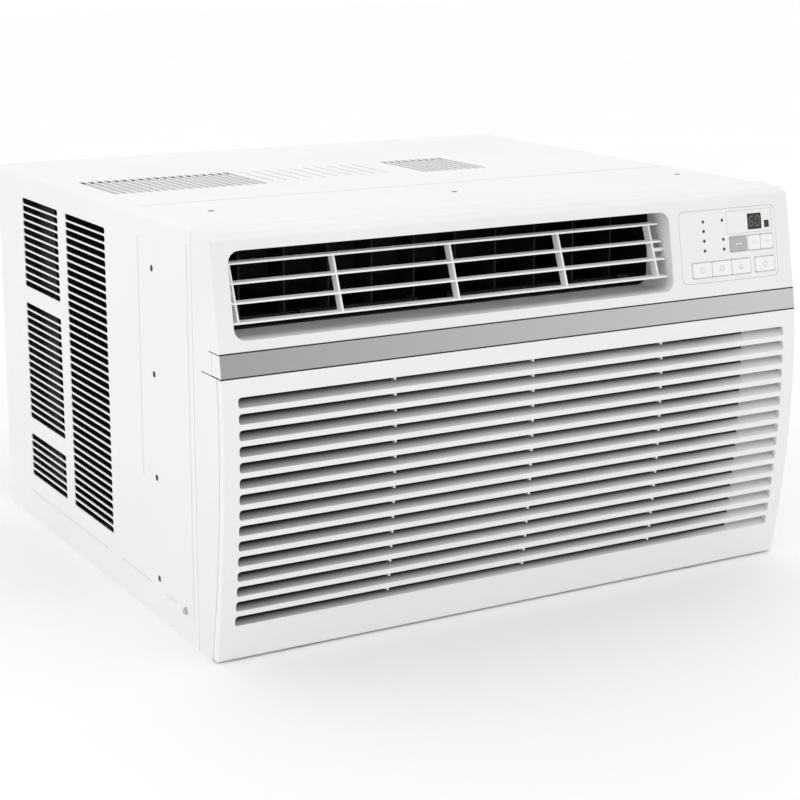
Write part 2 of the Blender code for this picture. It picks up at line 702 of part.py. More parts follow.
def build_vanes():
    link_y = VANE_PIVOT_Y - VANE_ARM
    for side, number, x in vane_places():
        blade = box((x - VANE_THICK / 2, x + VANE_THICK / 2), VANE_Y, VANE_Z)
        notch = box((x - 0.01, x + 0.01), (VANE_Y[0] - 0.01, VANE_PIVOT_Y - 0.0035),
                    (VANE_Z[0] - 0.01, LINK_Z[1] + 0.0015))
        pins = [cylinder("Z", (x, VANE_PIVOT_Y), VANE_PIN_R, DUCT_Z[0] + 0.001,
                         VANE_Z[0] + 0.002, sides=8),
                cylinder("Z", (x, VANE_PIVOT_Y), VANE_PIN_R, VANE_Z[1] - 0.002,
                         DUCT_Z[1] - 0.001, sides=8),
                cylinder("Z", (x, link_y), LINK_PIN_R, LINK_Z[0] - 0.001, LINK_Z[1] + 0.004,
                         sides=8)]
        part(f"vane_{side}_{number}", DARK_PLASTIC, blade, ("DIFFERENCE", notch),
             ("UNION", joined(*pins)), origin=(x, VANE_PIVOT_Y, 0.315))

    for side, start, tab_x in zip(("left", "right"), VANE_SETS_X, LINK_TAB_X):
        end = start + (VANES_PER_SET - 1) * VANE_PITCH
        low = min(start, tab_x) - 0.006
        high = max(end, tab_x) + 0.006
        bar = box((low, high), (link_y - LINK_HALF_WIDTH, link_y + LINK_HALF_WIDTH), LINK_Z)
        tab = box((tab_x - 0.006, tab_x + 0.006), (link_y - 0.0115, link_y - 0.0030),
                  (LINK_Z[0] + 0.0005, LINK_TAB_TOP))
        holes = [cylinder("Z", (start + i * VANE_PITCH, link_y), LINK_HOLE_R, LINK_Z[0] - 0.01,
                          LINK_Z[1] + 0.01, sides=8) for i in range(VANES_PER_SET)]
        part(f"vane_link_{side}", DARK_PLASTIC, bar, ("UNION", tab), ("DIFFERENCE", joined(*holes)),
             origin=(start, link_y, LINK_Z[0]))


def scroll_outlet_x():
    return ROTOR_X - SCROLL_R[1] + 0.003, ROTOR_X + SCROLL_R[0] / 2 - 0.003


def build_duct():
    inner_x = (MOUTH_X[0], MOUTH_X[1])
    inner_z = (DUCT_Z[0] + DUCT_WALL, DUCT_Z[1] - DUCT_WALL)
    hollow = box(inner_x, (DUCT_Y[0] - 0.01, DUCT_Y[1] - DUCT_WALL), inner_z)
    inlet = box(scroll_outlet_x(), (SCROLL_Y[0] + 0.003, SCROLL_Y[1] - DUCT_WALL),
                (DUCT_Z[0] - 0.01, DUCT_Z[0] + 0.01))
    holes = [cylinder("Z", (x, VANE_PIVOT_Y), VANE_HOLE_R, DUCT_Z[0] - 0.01, DUCT_Z[1] + 0.01,
                      sides=8) for _, _, x in vane_places()]
    part("discharge_duct", DARK_PLASTIC, box(DUCT_X, DUCT_Y, DUCT_Z),
         ("DIFFERENCE", hollow), ("DIFFERENCE", joined(inlet, *holes)))


# ---------------------------------------------------------------- control panel
def build_controls():
    sheet = face_prism(rounded_rect(OVERLAY_X, OVERLAY_Z, OVERLAY_RADIUS, 3), -OVERLAY_THICK, 0.0)
    part("control_overlay", PALE_OVERLAY, sheet,
         ("DIFFERENCE", control_windows(KEY_CLEARANCE - 0.0001, -0.004, 0.003)))

    for name, (x, z) in KEYS.items():
        cap = rounded_rect(x, z, KEY_RADIUS, 2)
        middle_x, middle_z = sum(x) / 2, sum(z) / 2
        stem = circle((middle_x, middle_z), STEM_R, 8)
        part(name, GREY_PLASTIC if name == "key_mode" else PALE_OVERLAY,
             face_prism(cap, -KEY_DEEP + 0.001, KEY_PROUD),
             ("UNION", face_prism(stem, -KEY_DEEP - 0.0008, -KEY_DEEP + 0.002)),
             origin=face_point(middle_x, middle_z, 0.0))

    for name, (x, z), look in (("display_window", DISPLAY, SMOKED), ("ir_window", IR_EYE, SMOKED)):
        part(name, look, face_prism(rounded_rect(x, z, 0.0008, 2), -0.0030, 0.0))

    columns_x = (LEDS[0][0], LEDS[4][0])
    runner_z = (LEDS[3][1] - 0.001, LEDS[0][1] + 0.001)
    columns = [rectangle((x - 0.0015, x + 0.0015), runner_z) for x in columns_x]
    bridge = rectangle(columns_x, (0.3255, 0.3285))
    pips = [face_prism(circle(spot, LED_R, 8), -0.0045, 0.0) for spot in LEDS]
    part("led_light_guide", CLEAR_GREEN, face_prism(columns[0], -0.0058, -0.0040),
         ("UNION", joined(face_prism(columns[1], -0.0058, -0.0040),
                          face_prism(bridge, -0.0056, -0.0042), *pips)))

    top = -BOARD_DEPTH[0]
    switches = []
    for x, z in KEYS.values():
        middle_x, middle_z = sum(x) / 2, sum(z) / 2
        switch = rectangle((middle_x - SWITCH_HALF, middle_x + SWITCH_HALF),
                           (middle_z - SWITCH_HALF, middle_z + SWITCH_HALF))
        switches.append(face_prism(switch, top - 0.001, top + 0.0006))
    digits = face_prism(rectangle(*grown(DISPLAY, -0.001)), top - 0.001, -0.0034)
    part("control_board", BOARD_GREEN,
         face_prism(rectangle(BOARD_X, BOARD_Z), -BOARD_DEPTH[1], top),
         ("UNION", joined(*switches, digits)))


# ---------------------------------------------------------------- blower, fan and motor
def spiral(shrink):
    """Side view of the blower housing: a spiral that opens upward."""
    top_z = DUCT_Z[0] - GAP
    small, large = SCROLL_R[0] - shrink, SCROLL_R[1] - shrink
    start, end = math.radians(180), math.radians(420)
    points = [(ROTOR_X - large, top_z)]
    for i in range(17):
        share = i / 16
        angle = start + (end - start) * share
        radius = large + (small - large) * share
        points.append((ROTOR_X + radius * math.cos(angle), ROTOR_Z + radius * math.sin(angle)))
    points.append((ROTOR_X + small / 2, top_z))
    return points


def build_blower(rotor):
    middle = (ROTOR_X, ROTOR_Z)
    inner = spiral(0.003)
    inner[0] = (inner[0][0], DUCT_Z[0] + 0.01)
    inner[-1] = (inner[-1][0], DUCT_Z[0] + 0.01)
    part("blower_scroll", DARK_PLASTIC, prism(spiral(0.0), "Y", *SCROLL_Y),
         ("DIFFERENCE", prism(inner, "Y", SCROLL_Y[0] - 0.01, SCROLL_Y[1] - 0.003)),
         ("DIFFERENCE", cylinder("Y", middle, 0.020, -0.10, -0.05)))

    plate_y = (SCROLL_Y[0] - GAP - 0.003, SCROLL_Y[0] - GAP)
    part("blower_orifice", FOAM, box((-0.275, 0.188), plate_y, (0.0470, 0.2620)),
         ("DIFFERENCE", cylinder("Y", middle, 0.080, -0.2, -0.1, sides=32)))

    back = WHEEL_Y[1]
    blades = []
    for i in range(WHEEL_BLADES):
        angle = math.tau * i / WHEEL_BLADES
        lead = angle + math.radians(9)
        inner_r, outer_r, thick = 0.074, WHEEL_R - 0.001, math.radians(1.0)
        outline = [(inner_r, angle - thick), (inner_r, angle + thick),
                   (outer_r, lead + thick), (outer_r, lead - thick)]
        points = [(ROTOR_X + r * math.cos(a), ROTOR_Z + r * math.sin(a)) for r, a in outline]
        blades.append(prism(points, "Y", WHEEL_Y[0] + 0.002, back - 0.002))
    ring = cylinder("Y", middle, WHEEL_R, WHEEL_Y[0], WHEEL_Y[0] + 0.005, sides=40)
    disc = cylinder("Y", middle, WHEEL_R, back - 0.003, back, sides=40)
    hub = cylinder("Y", middle, 0.016, back - 0.026, back - 0.001, sides=16)
    part("blower_wheel", DARK_PLASTIC, disc,
         ("UNION", joined(hub)),
         ("UNION", joined(*blades)),
         ("UNION", joined(ring)),
         ("DIFFERENCE", joined(
             cylinder("Y", middle, 0.080, WHEEL_Y[0] - 0.01, WHEEL_Y[0] + 0.006, sides=40),
             cylinder("Y", middle, SHAFT_R + 0.0005, back - 0.03, back + 0.01))),
         origin=rotor.location, parent=rotor)

    part("motor_shaft", GALVANISED, cylinder("Y", middle, SHAFT_R, *SHAFT_Y),
         origin=rotor.location, parent=rotor)


def fan_blade(turn):
    """One pitched condenser-fan blade, from the hub to the ring."""
    bm = bmesh.new()
    sections = []
    mid_y = sum(FAN_Y) / 2
    for share, sweep, pitch in ((0.0, 0.50, 0.0105), (0.5, 0.40, 0.0095), (1.0, 0.34, 0.0080)):
        radius = 0.027 + (FAN_R - 0.0295) * share
        loop = []
        for side, lift in ((-1, -0.0009), (1, -0.0009), (1, 0.0009), (-1, 0.0009)):
            angle = turn + side * sweep
            loop.append(bm.verts.new((ROTOR_X + radius * math.cos(angle), mid_y + side * pitch + lift,
                                      ROTOR_Z + radius * math.sin(angle))))
        sections.append(loop)
    bm.faces.new(sections[0])
    bm.faces.new(reversed(sections[-1]))
    for near, far in zip(sections, sections[1:]):
        for i in range(4):
            j = (i + 1) % 4
            bm.faces.new((near[j], near[i], far[i], far[j]))
    bmesh.ops.triangulate(bm, faces=bm.faces)
    return finish(bm)


def build_fan(rotor):
    middle = (ROTOR_X, ROTOR_Z)
    ring = cylinder("Y", middle, FAN_R, *FAN_Y, sides=40)
    ring_hole = cylinder("Y", middle, FAN_R - 0.005, FAN_Y[0] - 0.01, FAN_Y[1] + 0.01, sides=40)
    hub = cylinder("Y", middle, 0.030, FAN_Y[0], FAN_Y[1], sides=20)
    blades = [fan_blade(math.tau * i / FAN_BLADES) for i in range(FAN_BLADES)]
    part("condenser_fan", DARK_PLASTIC, ring,
         ("DIFFERENCE", ring_hole),
         ("UNION", joined(*blades)),
         ("UNION", hub),
         ("DIFFERENCE", cylinder("Y", middle, SHAFT_R + 0.0005, 0.05, 0.2)),
         origin=rotor.location, parent=rotor)

    part("fan_motor", BLACK_PAINT, cylinder("Y", middle, MOTOR_R, *MOTOR_Y, sides=28),
         ("UNION", joined(cylinder("Y", middle, 0.018, MOTOR_Y[0] - 0.006, MOTOR_Y[1] + 0.006),
                          box((ROTOR_X - 0.012, ROTOR_X + 0.012), (-0.02, 0.02),
                              (ROTOR_Z + 0.045, ROTOR_Z + 0.056)))),
         ("DIFFERENCE", cylinder("Y", middle, SHAFT_R + 0.0005, -0.1, 0.1)))

    stand = [(ROTOR_X - 0.060, FLOOR_Z + GAP), (ROTOR_X + 0.060, FLOOR_Z + GAP),
             (ROTOR_X + 0.046, ROTOR_Z - 0.012), (ROTOR_X - 0.046, ROTOR_Z - 0.012)]
    window = [(ROTOR_X - 0.042, FLOOR_Z + 0.006), (ROTOR_X + 0.042, FLOOR_Z + 0.006),
              (ROTOR_X + 0.030, ROTOR_Z - MOTOR_R - 0.020),
              (ROTOR_X - 0.030, ROTOR_Z - MOTOR_R - 0.020)]
    part("motor_bracket", GALVANISED, prism(stand, "Y", -0.030, 0.030),
         ("DIFFERENCE", cylinder("Y", middle, MOTOR_R + 0.0006, -0.05, 0.05, sides=28)),
         ("DIFFERENCE", prism(window, "Y", -0.05, 0.05)))


# ---------------------------------------------------------------- refrigeration circuit
def build_coils():
    x, y, z = EVAPORATOR
    plate = 0.0015
    plates = [box((end - plate, end + plate), (y[0] - 0.0008, y[1] + 0.0008), (z[0], z[1] + 0.002))
              for end in x]
    part("evaporator_coil", FIN_METAL, box(x, y, (z[0] + 0.001, z[1])), ("UNION", joined(*plates)))

    tray_top = z[0] + 0.005
    part("drip_tray", FOAM, box((x[0] - 0.006, x[1] + 0.006), (y[0] - 0.0022, y[1] + 0.008),
                                (FLOOR_Z + GAP, tray_top)),
         ("DIFFERENCE", box((x[0] - 0.003, x[1] + 0.003), (y[0] - 0.0012, y[1] + 0.0045),
                            (z[0] - GAP, 0.1))),
         ("DIFFERENCE", box((x[0] + 0.01, x[1] - 0.01), (y[0] + 0.006, y[1] - 0.006),
                            (0.020, 0.1))))

    x, y, z = CONDENSER
    plates = [box((end - plate, end + plate), (y[0] - 0.0008, y[1] + 0.0008), (z[0], z[1] + 0.002))
              for end in x]
    part("condenser_coil", FIN_METAL, box(x, y, (z[0] + 0.001, z[1])), ("UNION", joined(*plates)))


def build_compressor():
    x, y = COMPRESSOR.xy
    foot_z = 0.0180
    feet = [Vector((x, y)) + Matrix.Rotation(math.radians(90 + 120 * i), 2) @ Vector((0.062, 0.0))
            for i in range(3)]
    outline = [(0.030, foot_z), (0.048, foot_z + 0.004), (COMPRESSOR_R, foot_z + 0.018),
               (COMPRESSOR_R, 0.205), (0.052, 0.222), (0.036, 0.234), (0.012, 0.240)]
    plate = bmesh.new()
    corner = [foot + (foot - Vector((x, y))).normalized() * 0.010 for foot in feet]
    add_loops(plate, [(p.x, p.y, foot_z - 0.0015) for p in corner],
              [(p.x, p.y, foot_z + 0.0015) for p in corner])
    hub = cylinder("Z", (x, y), 0.045, foot_z - 0.0015, foot_z + 0.0015, sides=24)
    pads = [cylinder("Z", foot, 0.011, foot_z - 0.0015, foot_z + 0.0015, sides=12)
            for foot in feet]
    part("compressor", BLACK_PAINT, revolved(outline, x, y, 28),
         ("UNION", joined(finish(plate), hub)), ("UNION", joined(*pads)),
         ("DIFFERENCE", joined(*[cylinder("Z", foot, 0.0050, 0.0, 0.03, sides=12)
                                 for foot in feet])))
    for number, foot in enumerate(feet, 1):
        part(f"compressor_grommet_{number}", RUBBER,
             cylinder("Z", foot, 0.009, FLOOR_Z + GAP, foot_z - 0.0015 - GAP, sides=12),
             ("UNION", joined(cylinder("Z", foot, 0.0045, 0.012, foot_z + 0.004, sides=12))))

    tank = [(0.006, 0.062), (0.017, 0.072), (0.017, 0.175), (0.006, 0.186)]
    part("accumulator", BLACK_PAINT, revolved(tank, 0.112, 0.025, 16))


def build_pipes():
    tube("suction_pipe", COPPER, [
        (0.1918, -0.187, 0.215), (0.1985, -0.187, 0.215), (0.1985, -0.140, 0.222),
        (0.1950, -0.030, 0.222), (0.130, -0.010, 0.215), (0.112, 0.010, 0.210),
        (0.112, 0.025, 0.200), (0.112, 0.025, 0.1865)], PIPE_R["suction"])
    tube("discharge_pipe", COPPER, [
        (0.195, 0.045, 0.2405), (0.195, 0.045, 0.262), (0.205, 0.060, 0.280),
        (0.2905, 0.130, 0.300), (0.2905, 0.234, 0.310), (0.2850, 0.234, 0.310)],
        PIPE_R["discharge"])
    tube("liquid_pipe", COPPER, [
        (0.2850, 0.234, 0.060), (0.2905, 0.234, 0.060), (0.2905, 0.130, 0.055),
        (0.270, 0.000, 0.045), (0.200, -0.045, 0.047), (0.1985, -0.120, 0.060),
        (0.1985, -0.187, 0.075), (0.1918, -0.187, 0.075)], PIPE_R["liquid"])


def build_chassis():
    part("base_pan", GALVANISED, box((-PAN_X, PAN_X), PAN_Y, PAN_Z),
         ("DIFFERENCE", box((PAN_SHEET - PAN_X, PAN_X - PAN_SHEET),
                            (PAN_Y[0] + PAN_SHEET, PAN_Y[1] - PAN_SHEET), (FLOOR_Z, 0.1))))

    pipe_slot = [box((0.186, 0.2015), (-0.1, 0.0), (0.214, 0.230)),
                 box((0.190, 0.206), (-0.1, 0.0), (0.040, 0.057))]
    part("bulkhead", GALVANISED, box((-0.2855, 0.2855), BULKHEAD_Y, (0.0370, 0.2755)),
         ("DIFFERENCE", joined(cylinder("Y", (ROTOR_X, ROTOR_Z), 0.024, -0.1, 0.0), *pipe_slot)))

    middle = (ROTOR_X, ROTOR_Z)
    x = (-0.2860, 0.2860)
    z = (FLOOR_Z + GAP, 0.3480)
    throat_r = FAN_R + 0.004
    part("condenser_shroud", DARK_PLASTIC, box(x, SHROUD_Y, z),
         ("UNION", cylinder("Y", middle, throat_r + 0.002, FAN_Y[0] + 0.008, SHROUD_Y[0] + 0.01,
                            sides=40)),
         ("DIFFERENCE", box((x[0] + 0.0015, x[1] - 0.0015), (SHROUD_Y[0] + 0.0015, 0.3),
                            (z[0] + 0.0015, z[1] - 0.0015))),
         ("DIFFERENCE", cylinder("Y", middle, throat_r, 0.05, 0.2, sides=40)))


def build_electrics():
    x, y, z = (0.2080, 0.2860), (-0.2080, -0.0650), (0.0500, 0.2680)
    wall = 0.0015
    part("control_box", GALVANISED, box(x, y, z),
         ("DIFFERENCE", box((x[0] - 0.01, x[1] - wall), (y[0] + wall, y[1] - wall),
                            (z[0] + wall, z[1] - wall))))
    part("control_box_cover", GALVANISED, box((x[0] - GAP - 0.0012, x[0] - GAP), y, z))
    part("run_capacitor", GALVANISED, cylinder("Z", (0.258, -0.095), 0.020, z[0] + wall + GAP,
                                               0.150, sides=20),
         ("UNION", joined(box((0.2575, 0.2585), (-0.104, -0.100), (0.145, 0.158)),
                          box((0.2575, 0.2585), (-0.090, -0.086), (0.145, 0.158)))))
    relay = box((0.262, 0.281), (-0.175, -0.150), (0.175, 0.200))
    transformer = box((0.245, 0.281), (-0.195, -0.160), (0.075, 0.105))
    part("power_board", BOARD_GREEN, box((0.2800, 0.2816), (-0.200, -0.125), (0.062, 0.250)),
         ("UNION", joined(relay, transformer)))


# ---------------------------------------------------------------- assembly
def main():
    for obj in list(bpy.data.objects):
        bpy.data.objects.remove(obj, do_unlink=True)
    grille_pivot = empty("grille_pivot", (0.0, HINGE_Y, HINGE_Z))
    rotor = empty("rotor_axis", (ROTOR_X, 0.0, ROTOR_Z))
    build_cabinet()
    build_front()
    build_intake_grille(grille_pivot)
    build_louvre()
    build_vanes()
    build_duct()
    build_controls()
    build_blower(rotor)
    build_fan(rotor)
    build_coils()
    build_compressor()
    build_pipes()
    build_chassis()
    build_electrics()


main()
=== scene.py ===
import json
import math

import bmesh
import bpy
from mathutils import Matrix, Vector


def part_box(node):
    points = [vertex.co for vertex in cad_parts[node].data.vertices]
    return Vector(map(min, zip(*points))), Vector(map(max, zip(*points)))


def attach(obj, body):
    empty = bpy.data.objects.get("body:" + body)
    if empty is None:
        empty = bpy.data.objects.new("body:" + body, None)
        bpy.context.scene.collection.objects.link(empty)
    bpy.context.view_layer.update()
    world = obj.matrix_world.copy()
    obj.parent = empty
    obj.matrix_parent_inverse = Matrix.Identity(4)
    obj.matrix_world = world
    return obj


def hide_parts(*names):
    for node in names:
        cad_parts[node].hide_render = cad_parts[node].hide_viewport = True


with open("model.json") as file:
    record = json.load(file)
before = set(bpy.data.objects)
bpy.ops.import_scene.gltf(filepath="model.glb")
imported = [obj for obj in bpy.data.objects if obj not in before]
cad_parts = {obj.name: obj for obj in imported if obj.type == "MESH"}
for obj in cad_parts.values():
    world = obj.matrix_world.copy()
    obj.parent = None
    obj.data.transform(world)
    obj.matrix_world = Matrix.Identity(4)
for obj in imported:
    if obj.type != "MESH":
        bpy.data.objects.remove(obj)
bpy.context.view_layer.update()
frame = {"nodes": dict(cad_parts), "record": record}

# ---------------------------------------------------------------- shared dimensions
# The cabinet, and the curve of the front face (the same numbers as the CAD).
HALF_W, HEIGHT = 0.300, 0.365
CABINET_FRONT_Y, REAR_Y = -0.221, 0.280
SHEET = 0.001
EDGE_R = 0.004
EDGE_X = HALF_W - EDGE_R
FACE_NORMAL = Vector((0.0, -0.98495, 0.17286))
CREST_DEPTH, CREST_Z, LEAN_Z = 0.059, 0.205, 0.270
LOWER_CURVE, UPPER_CURVE, LEAN_SLOPE = 0.535, 1.35, 0.1755

# The slots of the intake grille: blind to the right of BLIND_X, webs at RIBS_X.
SLOT_COUNT, SLOT_PITCH, FIRST_SLAT_Z, SLAT_FACE = 15, 0.01368, 0.0330, 0.0045
SLAT_RUN = 0.0068
SLOTS_TOP = FIRST_SLAT_Z + SLOT_PITCH * SLOT_COUNT - SLAT_FACE
SLOTS_X, BLIND_X = (-0.286, 0.286), 0.239
RIBS_X = (-0.1395, 0.0005, 0.1415)

# The vents: each (first, count) is a run of slots, and SLIT is the row of narrow ones on top.
VENT_PITCH, VENT_SLOT, VENT_TOP_Z = 0.00769, 0.0061, 0.3395
FRONT_VENT_Y, FRONT_VENT_COUNT = (-0.025, 0.080), 38
REAR_VENT_Y, REAR_VENTS = (0.101, 0.205), ((0, 12), (14, 16), (32, 6))
TOP_VENT_Y, TOP_VENT_PITCH = (0.004, 0.101), 0.00843
TOP_VENTS = ((-0.278, 19), (0.055, 9))
VENT_CORNER_R = 0.0028
SLIT_Y, SLIT_X, SLIT_COUNT, SLIT_WIDTH = (0.018, 0.098), (-0.108, 0.0205), 10, 0.0016

# The lines pressed into the sides, upright (y, low z, high z) and level (start y, end y, z),
# and the one across the top (start x, end x, y).
UPRIGHT_LINES = ((-0.1045, 0.126, 0.344), (-0.2119, 0.025, 0.351))
LEVEL_LINES = ((-0.007, 0.211, 0.0305), (-0.116, -0.045, 0.031), (-0.174, -0.148, 0.028))
TOP_LINE = (-0.285, 0.289, -0.077)
LINE_WIDTH, LINE_HEIGHT = 0.0022, 0.00045

# The holes for the window curtains and the top rail, and the dark discs of painted shadow in them.
SCREW_HOLE_R, SCREW_LINE_Y = 0.0025, -0.1355
HOLE_SHADOW_R, HOLE_SHADOW_PROUD, HOLE_SIDES = 0.0029, 0.00012, 16
SIDE_SCREWS_Z = (0.0385, 0.1320, 0.2255, 0.3195)
TOP_SCREWS_X = (-0.243, 0.005, 0.265)

# The control panel: (x range, z range) of the display and of each key.
DISPLAY = ((0.2507, 0.2670), (0.3280, 0.3424))
KEYS = {
    "key_mode": ((0.2280, 0.2475), (0.3089, 0.3222)),
    "key_temp_down": ((0.2490, 0.2637), (0.3089, 0.3222)),
    "key_temp_up": ((0.2643, 0.2790), (0.3089, 0.3222)),
    "key_timer": ((0.1820, 0.2042), (0.2881, 0.3013)),
    "key_fan_speed": ((0.2048, 0.2274), (0.2881, 0.3013)),
    "key_energy_saver": ((0.2280, 0.2500), (0.2881, 0.3013)),
    "key_power": ((0.2563, 0.2790), (0.2881, 0.3013)),
}
KEY_PROUD = 0.0006
PRINT_LIFT = 0.00004
OUTLINED_KEYS = (("key_mode", "key_temp_up"), ("key_timer", "key_energy_saver"),
                 ("key_power", "key_power"))
DISPLAY_FRAME = ((0.2255, 0.2795), (0.3252, 0.3462))
OUTLINE_GAP, OUTLINE_R, OUTLINE_WIDTH = 0.0009, 0.0018, 0.00035
SYMBOL_WIDTH, MODE_SYMBOL_WIDTH = 0.00045, 0.0011

# Painted shadow in the gaps above and below the trim band: z, and each end's y on the sides.
BAND_SEAM_SHADOWS = ((0.26925, -0.254), (0.24935, -0.238))

# The screws: one low on each side (y, z), and those of the rear flange.
FOOT_SCREW, FOOT_SCREW_R = (-0.194, 0.027), 0.0026
REAR_SCREWS_Z, REAR_SCREWS_X, REAR_SCREW_R = (0.060, 0.182, 0.305), (-0.20, 0.0, 0.20), 0.0028
FLANGE, SCREW_INSET = 0.012, 0.0065

# The coils: node, rows of tubes, and how far the tube bends stand out of the ends.
COILS = (("condenser_coil", 14, 0.0), ("evaporator_coil", 9, 0.0060))
COIL_COLUMNS, FIN_PITCH, FIN_THICK, COIL_PLATE = 2, 0.0027, 0.0006, 0.0030
TUBE_R, BEND_R, TUBE_MARGIN, TUBE_SPARE = 0.0035, 0.0033, 0.012, 0.020

CORNER_STEPS = 8


def face_y(z):
    """The front face at height z."""
    if z < CREST_Z:
        return CABINET_FRONT_Y - CREST_DEPTH + LOWER_CURVE * (CREST_Z - z) ** 2
    bend = min(z, LEAN_Z) - CREST_Z
    straight = max(z - LEAN_Z, 0.0)
    return CABINET_FRONT_Y - CREST_DEPTH + UPPER_CURVE * bend ** 2 + LEAN_SLOPE * straight


def on_face(x, z, lift):
    """The point of the front face at (x, z), lifted along the normal of its leaning part."""
    return Vector((x, face_y(z), z)) + lift * FACE_NORMAL


# ---------------------------------------------------------------- materials
class Look:
    """A principled material whose colour, roughness and bump vary over the surface."""

    def __init__(self, name, roughness=0.4, metallic=0.0, **sockets):
        self.mat = bpy.data.materials.new(name)
        self.mat.use_nodes = True
        self.tree = self.mat.node_tree
        self.shader = self.tree.nodes["Principled BSDF"]
        self.shader.inputs["Roughness"].default_value = roughness
        self.shader.inputs["Metallic"].default_value = metallic
        for socket, value in sockets.items():
            self.shader.inputs[socket.replace("_", " ")].default_value = value
        self.place = self.tree.nodes.new("ShaderNodeTexCoord").outputs["Object"]

    def node(self, kind, **settings):
        node = self.tree.nodes.new(kind)
        for key, value in settings.items():
            setattr(node, key, value)
        return node

    def link(self, source, target):
        self.tree.links.new(source, target)

    def stretched(self, scale):
        mapping = self.node("ShaderNodeMapping")
        mapping.inputs["Scale"].default_value = scale
        self.link(self.place, mapping.inputs["Vector"])
        return mapping.outputs["Vector"]

    def noise(self, scale, detail=3.0, where=None):
        noise = self.node("ShaderNodeTexNoise")
        noise.inputs["Scale"].default_value = scale
        noise.inputs["Detail"].default_value = detail
        self.link(where or self.place, noise.inputs["Vector"])
        return noise.outputs["Fac"]

    def cells(self, scale, output="Distance"):
        cells = self.node("ShaderNodeTexVoronoi")
        cells.inputs["Scale"].default_value = scale
        self.link(self.place, cells.inputs["Vector"])
        return cells.outputs[output]

    def split(self, source):
        parts = self.node("ShaderNodeSeparateXYZ")
        self.link(source, parts.inputs["Vector"])
        return parts.outputs

    def maths(self, operation, *values):
        """The result of a maths operation on sockets and plain numbers."""
        node = self.node("ShaderNodeMath", operation=operation)
        for socket, value in zip(node.inputs, values):
            if isinstance(value, float):
                socket.default_value = value
            else:
                self.link(value, socket)
        return node.outputs["Value"]

    def ramp(self, factor, stops):
        ramp = self.node("ShaderNodeValToRGB")
        elements = ramp.color_ramp.elements
        while len(elements) < len(stops):
            elements.new(0.5)
        for element, (position, colour) in zip(elements, stops):
            element.position = position
            element.color = (*colour, 1.0)
        self.link(factor, ramp.inputs["Fac"])
        return ramp.outputs["Color"]

    def colours(self, factor, stops):
        self.link(self.ramp(factor, stops), self.shader.inputs["Base Color"])
        return self

    def rough(self, factor, low, high):
        spread = self.node("ShaderNodeMapRange")
        spread.inputs["To Min"].default_value = low
        spread.inputs["To Max"].default_value = high
        self.link(factor, spread.inputs["Value"])
        self.link(spread.outputs["Result"], self.shader.inputs["Roughness"])
        return self

    def bump(self, factor, depth, strength=1.0):
        bump = self.node("ShaderNodeBump")
        bump.inputs["Distance"].default_value = depth
        bump.inputs["Strength"].default_value = strength
        self.link(factor, bump.inputs["Height"])
        self.link(bump.outputs["Normal"], self.shader.inputs["Normal"])
        return self


def shades(colour, spread):
    """Two close versions of a colour, for a soft variation between them."""
    low = tuple(max(c * (1 - spread), 0.0) for c in colour)
    high = tuple(min(c * (1 + spread), 1.0) for c in colour)
    return (0.35, low), (0.65, high)


def plain_look(name, colour, rough=(0.38, 0.46), grain=1800.0, depth=0.00004, spread=0.012,
               cloud=7.0, **settings):
    """Moulded or painted: faint clouding, fine grain, uneven gloss."""
    look = Look(name, **settings)
    look.colours(look.noise(cloud), shades(colour, spread))
    look.rough(look.noise(60.0), *rough)
    return look.bump(look.noise(grain, 2.0), depth, 0.5).mat


